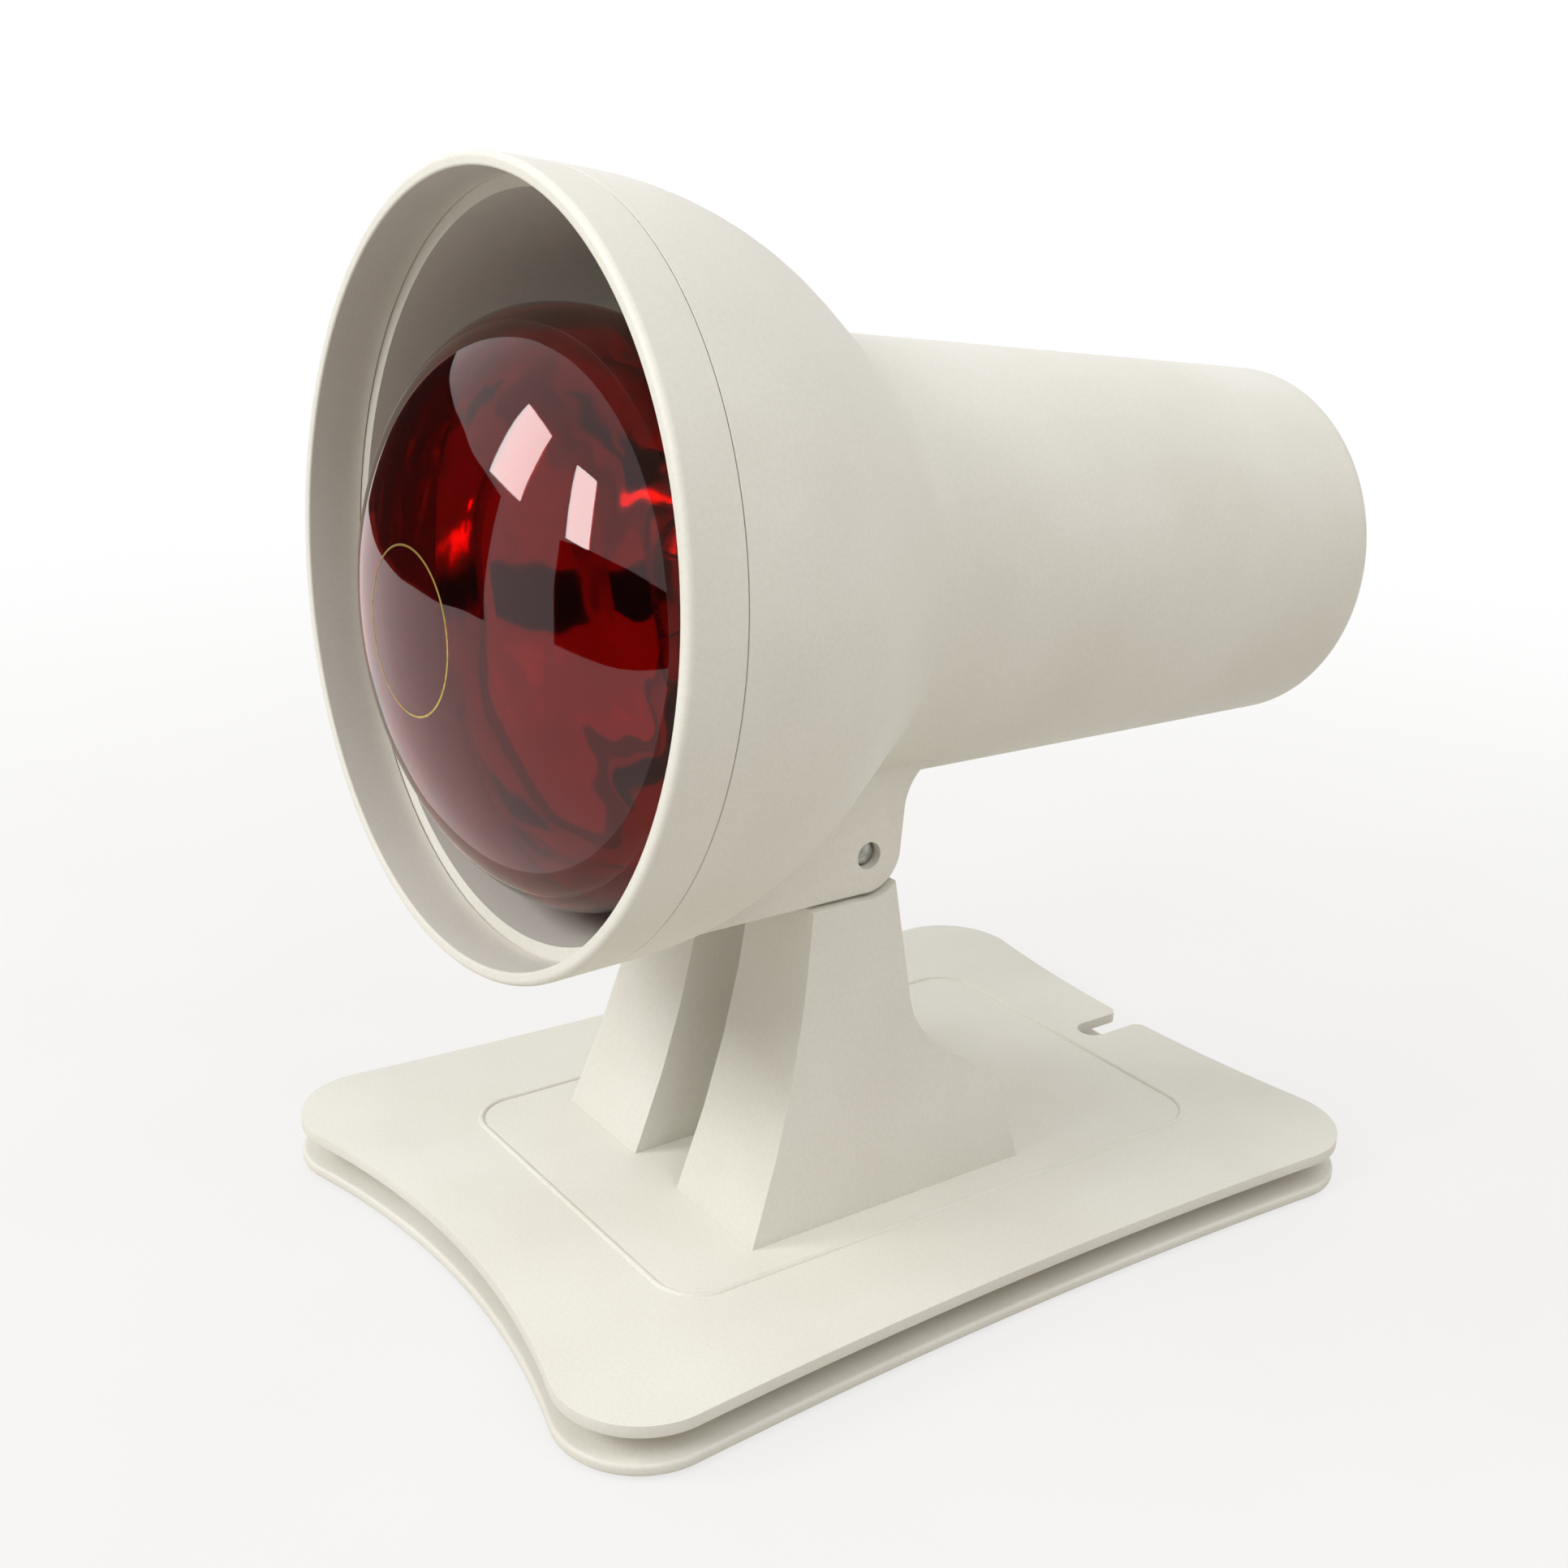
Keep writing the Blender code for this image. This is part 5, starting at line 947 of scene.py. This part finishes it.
def make_gilt_ring():
    """A thin plain ring that follows the front of the dome."""
    inner, outer = RING_RADIUS - RING_WIDTH / 2.0, RING_RADIUS + RING_WIDTH / 2.0
    low = [on_dome(inner, RING_LOW), on_dome(outer, RING_LOW)]
    high = [on_dome(outer, RING_HIGH), on_dome(inner, RING_HIGH)]
    ring = new_piece("gilt_ring", lathe(low + high), GILT, bulb_matrix())
    dress(ring, "bulb", "brass")


make_glass()
make_gilt_ring()

# %% [markdown]
# ## The filament
#
# The filament is a coil of tungsten bent into an open ring and carried by wires that fan out
# from the glass stem. Each is a curve with a round section. The coil's points come from a
# formula: a small circle that runs round the large one.

# %% Make the filament and its wires
FILAMENT_PLACE, FILAMENT_RING = 100.0 * MM, 13.0 * MM
FILAMENT_TURNS, FILAMENT_SWEEP = 96, math.radians(270.0)
STEPS_PER_TURN, COIL_RADIUS, COIL_WIRE = 8, 0.55 * MM, 0.13 * MM
STEM_TIP, STEM_RADIUS = 82.0 * MM, 3.6 * MM
# The wires leave the stem beside its tip, bend outwards and end just behind the coil.
WIRES, WIRE_RADIUS, WIRE_BESIDE = 5, 0.33 * MM, 0.7 * MM
BEND_SHARE, BEND_BEHIND, TIP_BEHIND = 0.65, 4.0 * MM, 1.0 * MM
WIRE_WELD = 0.002 * MM


def swept(name, path, radius, material, matrix, sides):
    """A mesh wire along points, with closed ends, in its place."""
    curve = bpy.data.curves.new(name, "CURVE")
    curve.dimensions = "3D"
    curve.bevel_depth = radius
    curve.bevel_resolution = sides
    curve.use_fill_caps = True
    spline = curve.splines.new("POLY")
    spline.points.add(len(path) - 1)
    for point, place in zip(spline.points, path):
        point.co = (*place, 1.0)
    item = bpy.data.objects.new(name, curve)
    bpy.context.scene.collection.objects.link(item)
    bpy.context.view_layer.update()
    graph = bpy.context.evaluated_depsgraph_get()
    mesh = bpy.data.meshes.new_from_object(item.evaluated_get(graph))
    bpy.data.objects.remove(item)
    bpy.data.curves.remove(curve)
    bm = bmesh.new()
    bm.from_mesh(mesh)
    bmesh.ops.remove_doubles(bm, verts=bm.verts, dist=WIRE_WELD)
    bpy.data.meshes.remove(mesh)
    return new_piece(name, bm, material, matrix)


def forwards(distance):
    """A step forwards along the bulb's axis, from its seat."""
    return Vector((0.0, -distance, 0.0))


def make_coil():
    start = math.pi / 2.0 - FILAMENT_SWEEP / 2.0
    count = FILAMENT_TURNS * STEPS_PER_TURN
    path = []
    for i in range(count + 1):
        around = start + FILAMENT_SWEEP * i / count
        turn = math.tau * FILAMENT_TURNS * i / count
        ring = FILAMENT_RING + COIL_RADIUS * math.cos(turn)
        y = -FILAMENT_PLACE + COIL_RADIUS * math.sin(turn)
        path.append((ring * math.cos(around), y, ring * math.sin(around)))
    coil = swept("filament_coil", path, COIL_WIRE, TUNGSTEN, BULB, 1)
    dress(coil, "bulb", "tungsten", "filament")


def make_wires():
    start = math.pi / 2.0 - FILAMENT_SWEEP / 2.0
    for i in range(WIRES):
        angle = start + FILAMENT_SWEEP * i / (WIRES - 1.0)
        away = Vector((math.cos(angle), 0.0, math.sin(angle)))
        foot = away * (STEM_RADIUS + WIRE_BESIDE)
        tip = away * FILAMENT_RING
        bend = foot * (1.0 - BEND_SHARE) + tip * BEND_SHARE
        points = [foot + forwards(STEM_TIP - 2.0 * STEM_RADIUS), foot + forwards(STEM_TIP)]
        points.append(bend + forwards(FILAMENT_PLACE - BEND_BEHIND))
        points.append(tip + forwards(FILAMENT_PLACE - TIP_BEHIND))
        wire = swept(f"filament_support_{i + 1}", points, WIRE_RADIUS, MOLYBDENUM, BULB, 2)
        dress(wire, "bulb", "tungsten", f"support_wire_{i + 1}")


make_coil()
make_wires()

# %% [markdown]
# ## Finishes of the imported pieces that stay
#
# The washers, small screws, ceramic, contacts and leads are right as they are packed, so they
# keep their shapes, and each takes the finish of its material. The names of the nodes say
# which. A node with no row is zinc-plated steel, or is hidden behind a new piece.

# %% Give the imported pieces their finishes
FINISHES = {
    "cord_winding_core": IVORY_ABS,
    "cord_clamp": IVORY_ABS,
    "ballast_weight": CAST_IRON,
    "hinge_washer": FIBRE,
    "lampholder_body": CERAMIC,
    "lampholder_shell": BRASS,
    "centre_contact": BRASS,
    "terminal_block": BRASS,
    "bulb_cap": ALUMINIUM,
    "cap_insulator": BLACK_GLASS,
    "cap_contact": SOLDER,
    "bulb_stem": CLEAR_GLASS,
    "inner_lead": BLUE_SLEEVE,
}
for name, item in frame["nodes"].items():
    kind = name.rstrip("0123456789").rstrip("_")
    item.data.materials.clear()
    item.data.materials.append(FINISHES.get(kind, ZINC_STEEL))
print("finishes given to", len(frame["nodes"]), "packed pieces")

# %% [markdown]
# ## The camera
#
# The camera stands where the camera of the photograph stood. Its angles, its place and its
# focal length were found from the straight edges and the round rim of the lamp, because
# parallel edges that run together tell where a camera looks, and how wide.

# %% Camera
VIEW_AZIMUTH, VIEW_ELEVATION = math.radians(53.92), math.radians(19.405)
VIEW_ROLL = math.radians(2.08)
CAMERA_PLACE = Vector((260.6, -202.5, 192.7)) * MM
FOCAL_SHARE = 2403.0 / 1932.0
SENSOR_MM = 36.0


def make_camera():
    level = math.cos(VIEW_ELEVATION)
    across, along = math.sin(VIEW_AZIMUTH) * level, -math.cos(VIEW_AZIMUTH) * level
    back = Vector((across, along, math.sin(VIEW_ELEVATION)))
    right = Vector((0.0, 0.0, 1.0)).cross(back).normalized()
    up = back.cross(right)
    turned_right = right * math.cos(VIEW_ROLL) + up * math.sin(VIEW_ROLL)
    turned_up = up * math.cos(VIEW_ROLL) - right * math.sin(VIEW_ROLL)
    data = bpy.data.cameras.new("camera")
    data.sensor_fit = "HORIZONTAL"
    data.sensor_width = SENSOR_MM
    data.lens = SENSOR_MM * FOCAL_SHARE
    data.clip_start = 0.01
    camera = bpy.data.objects.new("camera", data)
    rotation = Matrix((turned_right, turned_up, back)).transposed().to_4x4()
    camera.matrix_world = Matrix.Translation(CAMERA_PLACE) @ rotation
    bpy.context.scene.collection.objects.link(camera)
    bpy.context.scene.camera = camera
    print("the camera's focal length is", round(data.lens, 1), "mm on a sensor of", SENSOR_MM, "mm")


make_camera()
# Standard shows a colour as it is written.
bpy.context.scene.view_settings.view_transform = "Standard"

# %% [markdown]
# ## The surround and the floor
#
# The picture has a white ground that the lamp stands on without a horizon. The world lights
# the lamp softly and more from above, but the camera, mirrors and glass see plain white
# instead. The floor is pale and matt near the lamp, where it takes the shadow, and fades to
# that white further out. Light Path tells the rays apart, so the white does not light the
# plastic.

# %% Surround and floor
SKY_SPAN = {"From_Min": -0.05, "From_Max": 0.9}
SKY_LOW, SKY_RISE = 0.34, 0.60
FADE = {"From_Min": 0.10, "From_Max": 0.62, "To_Min": 0.74, "To_Max": 1.0}
FLOOR_HALF = 3.0
WHITE = (1.0, 1.0, 1.0, 1.0)
MAXIMUM, LENGTH = {"operation": "MAXIMUM"}, {"operation": "LENGTH"}


def seen_directly(tree):
    """1 for rays of the camera, of mirrors and of glass, and 0 for the rays that only light."""
    path = add(tree, "ShaderNodeLightPath")
    total = path.outputs["Is Camera Ray"]
    for name in ("Is Glossy Ray", "Is Transmission Ray"):
        total = add(tree, "ShaderNodeMath", MAXIMUM, i0=total, i1=path.outputs[name])
    return total


def make_surround():
    world = bpy.data.worlds.new("studio")
    bpy.context.scene.world = world
    world.use_nodes = True
    tree = world.node_tree
    tree.nodes.clear()
    seen = seen_directly(tree)
    place = add(tree, "ShaderNodeTexCoord")
    parts = add(tree, "ShaderNodeSeparateXYZ", Vector=place.outputs["Generated"])
    sky = add(tree, "ShaderNodeMapRange", Value=parts.outputs["Z"], **SKY_SPAN)
    level = add(tree, "ShaderNodeMath", MULTIPLY_ADD, i0=sky, i1=SKY_RISE, i2=SKY_LOW)
    ends = {"i6": linear("#FFF5E8"), "i7": linear("#FCFDFF")}
    tone = add(tree, "ShaderNodeMix", RGBA, i0=sky, **ends).outputs[2]
    lit = add(tree, "ShaderNodeBackground", Color=tone, Strength=level)
    white = add(tree, "ShaderNodeBackground", Color=WHITE, Strength=1.0)
    mix = add(tree, "ShaderNodeMixShader", i0=seen, i1=lit, i2=white)
    add(tree, "ShaderNodeOutputWorld", Surface=mix)


def make_floor():
    material, tree = new_material("pale_floor")
    tone = mottled(tree, real_noise(tree, 60.0, 2.0), "#CFCAC2", "#C8C3BA")
    plain = add(tree, "ShaderNodeBsdfPrincipled", Base_Color=tone, Roughness=0.9)
    glow = add(tree, "ShaderNodeEmission", Color=WHITE, Strength=1.0)
    place = add(tree, "ShaderNodeTexCoord")
    away = add(tree, "ShaderNodeVectorMath", LENGTH, i0=place.outputs["Object"])
    smooth = {"interpolation_type": "SMOOTHSTEP"}
    fade = add(tree, "ShaderNodeMapRange", smooth, Value=away.outputs["Value"], **FADE)
    share = add(tree, "ShaderNodeMath", MULTIPLY, i0=seen_directly(tree), i1=fade)
    mix = add(tree, "ShaderNodeMixShader", i0=share, i1=plain, i2=glow)
    add(tree, "ShaderNodeOutputMaterial", Surface=mix)
    bm = bmesh.new()
    bmesh.ops.create_grid(bm, x_segments=8, y_segments=8, size=FLOOR_HALF)
    floor = new_piece("floor", bm, material)
    print("the floor is", 2.0 * FLOOR_HALF, "m across and fades to white at", FADE["From_Max"], "m")


make_surround()
make_floor()

# %% [markdown]
# ## The lights
#
# Two soft lights side by side in front give the bulb its two bright panes, and shade the hood
# gently from left to right. A larger and weaker one above at the right lifts the cylinder.

# %% Lights
def soft_light(name, place, aim, width, height, power):
    """A soft rectangular light at a place in metres, aimed at a point inside the lamp."""
    data = bpy.data.lights.new(name, "AREA")
    data.shape = "RECTANGLE"
    data.size = width
    data.size_y = height
    data.energy = power
    light = bpy.data.objects.new(name, data)
    light.location = place
    light.rotation_euler = (Vector(aim) - Vector(place)).to_track_quat("-Z", "Y").to_euler()
    bpy.context.scene.collection.objects.link(light)
    print(name, "gives", power, "W from", round((Vector(aim) - Vector(place)).length, 2), "m away")


soft_light("key_light_1", (-0.52, -1.0, 0.78), (0.0, 0.0, 0.08), 0.34, 0.5, 6.0)
soft_light("key_light_2", (0.12, -1.1, 0.76), (0.0, 0.0, 0.08), 0.24, 0.5, 5.2)
soft_light("top_light", (0.75, 0.1, 1.1), (0.0, 0.0, 0.1), 0.6, 0.6, 2.6)

# %% [markdown]
# ## The black cards
#
# A mirror or a glass in an all-white room looks flat. In a studio, black cards stand just
# outside the picture, so that dark shapes run through the reflections. These two do that for
# the bulb, and the camera's own rays don't see them.

# %% Black cards
def make_card(name, place, turn, width, height):
    """An upright black card, turned about the vertical by some degrees."""
    material, tree = new_material(name)
    tone = mottled(tree, real_noise(tree, 40.0, 2.0), "#141414", "#1C1C1C")
    shader = add(tree, "ShaderNodeBsdfPrincipled", Base_Color=tone, Roughness=0.95)
    add(tree, "ShaderNodeOutputMaterial", Surface=shader)
    bm = bmesh.new()
    bmesh.ops.create_grid(bm, x_segments=1, y_segments=1, size=0.5)
    bmesh.ops.scale(bm, vec=(width, height, 1.0), verts=bm.verts)
    upright = Matrix.Rotation(math.radians(turn), 4, "Z") @ Matrix.Rotation(math.pi / 2.0, 4, "X")
    card = new_piece(name, bm, material, Matrix.Translation(place) @ upright)
    card.visible_camera = False
    print(name, "is", width, "by", height, "m")


make_card("black_card_right", (0.42, -0.72, 0.21), 28.0, 1.0, 0.42)
make_card("black_card_left", (-0.75, -0.45, 0.22), -60.0, 1.1, 0.44)
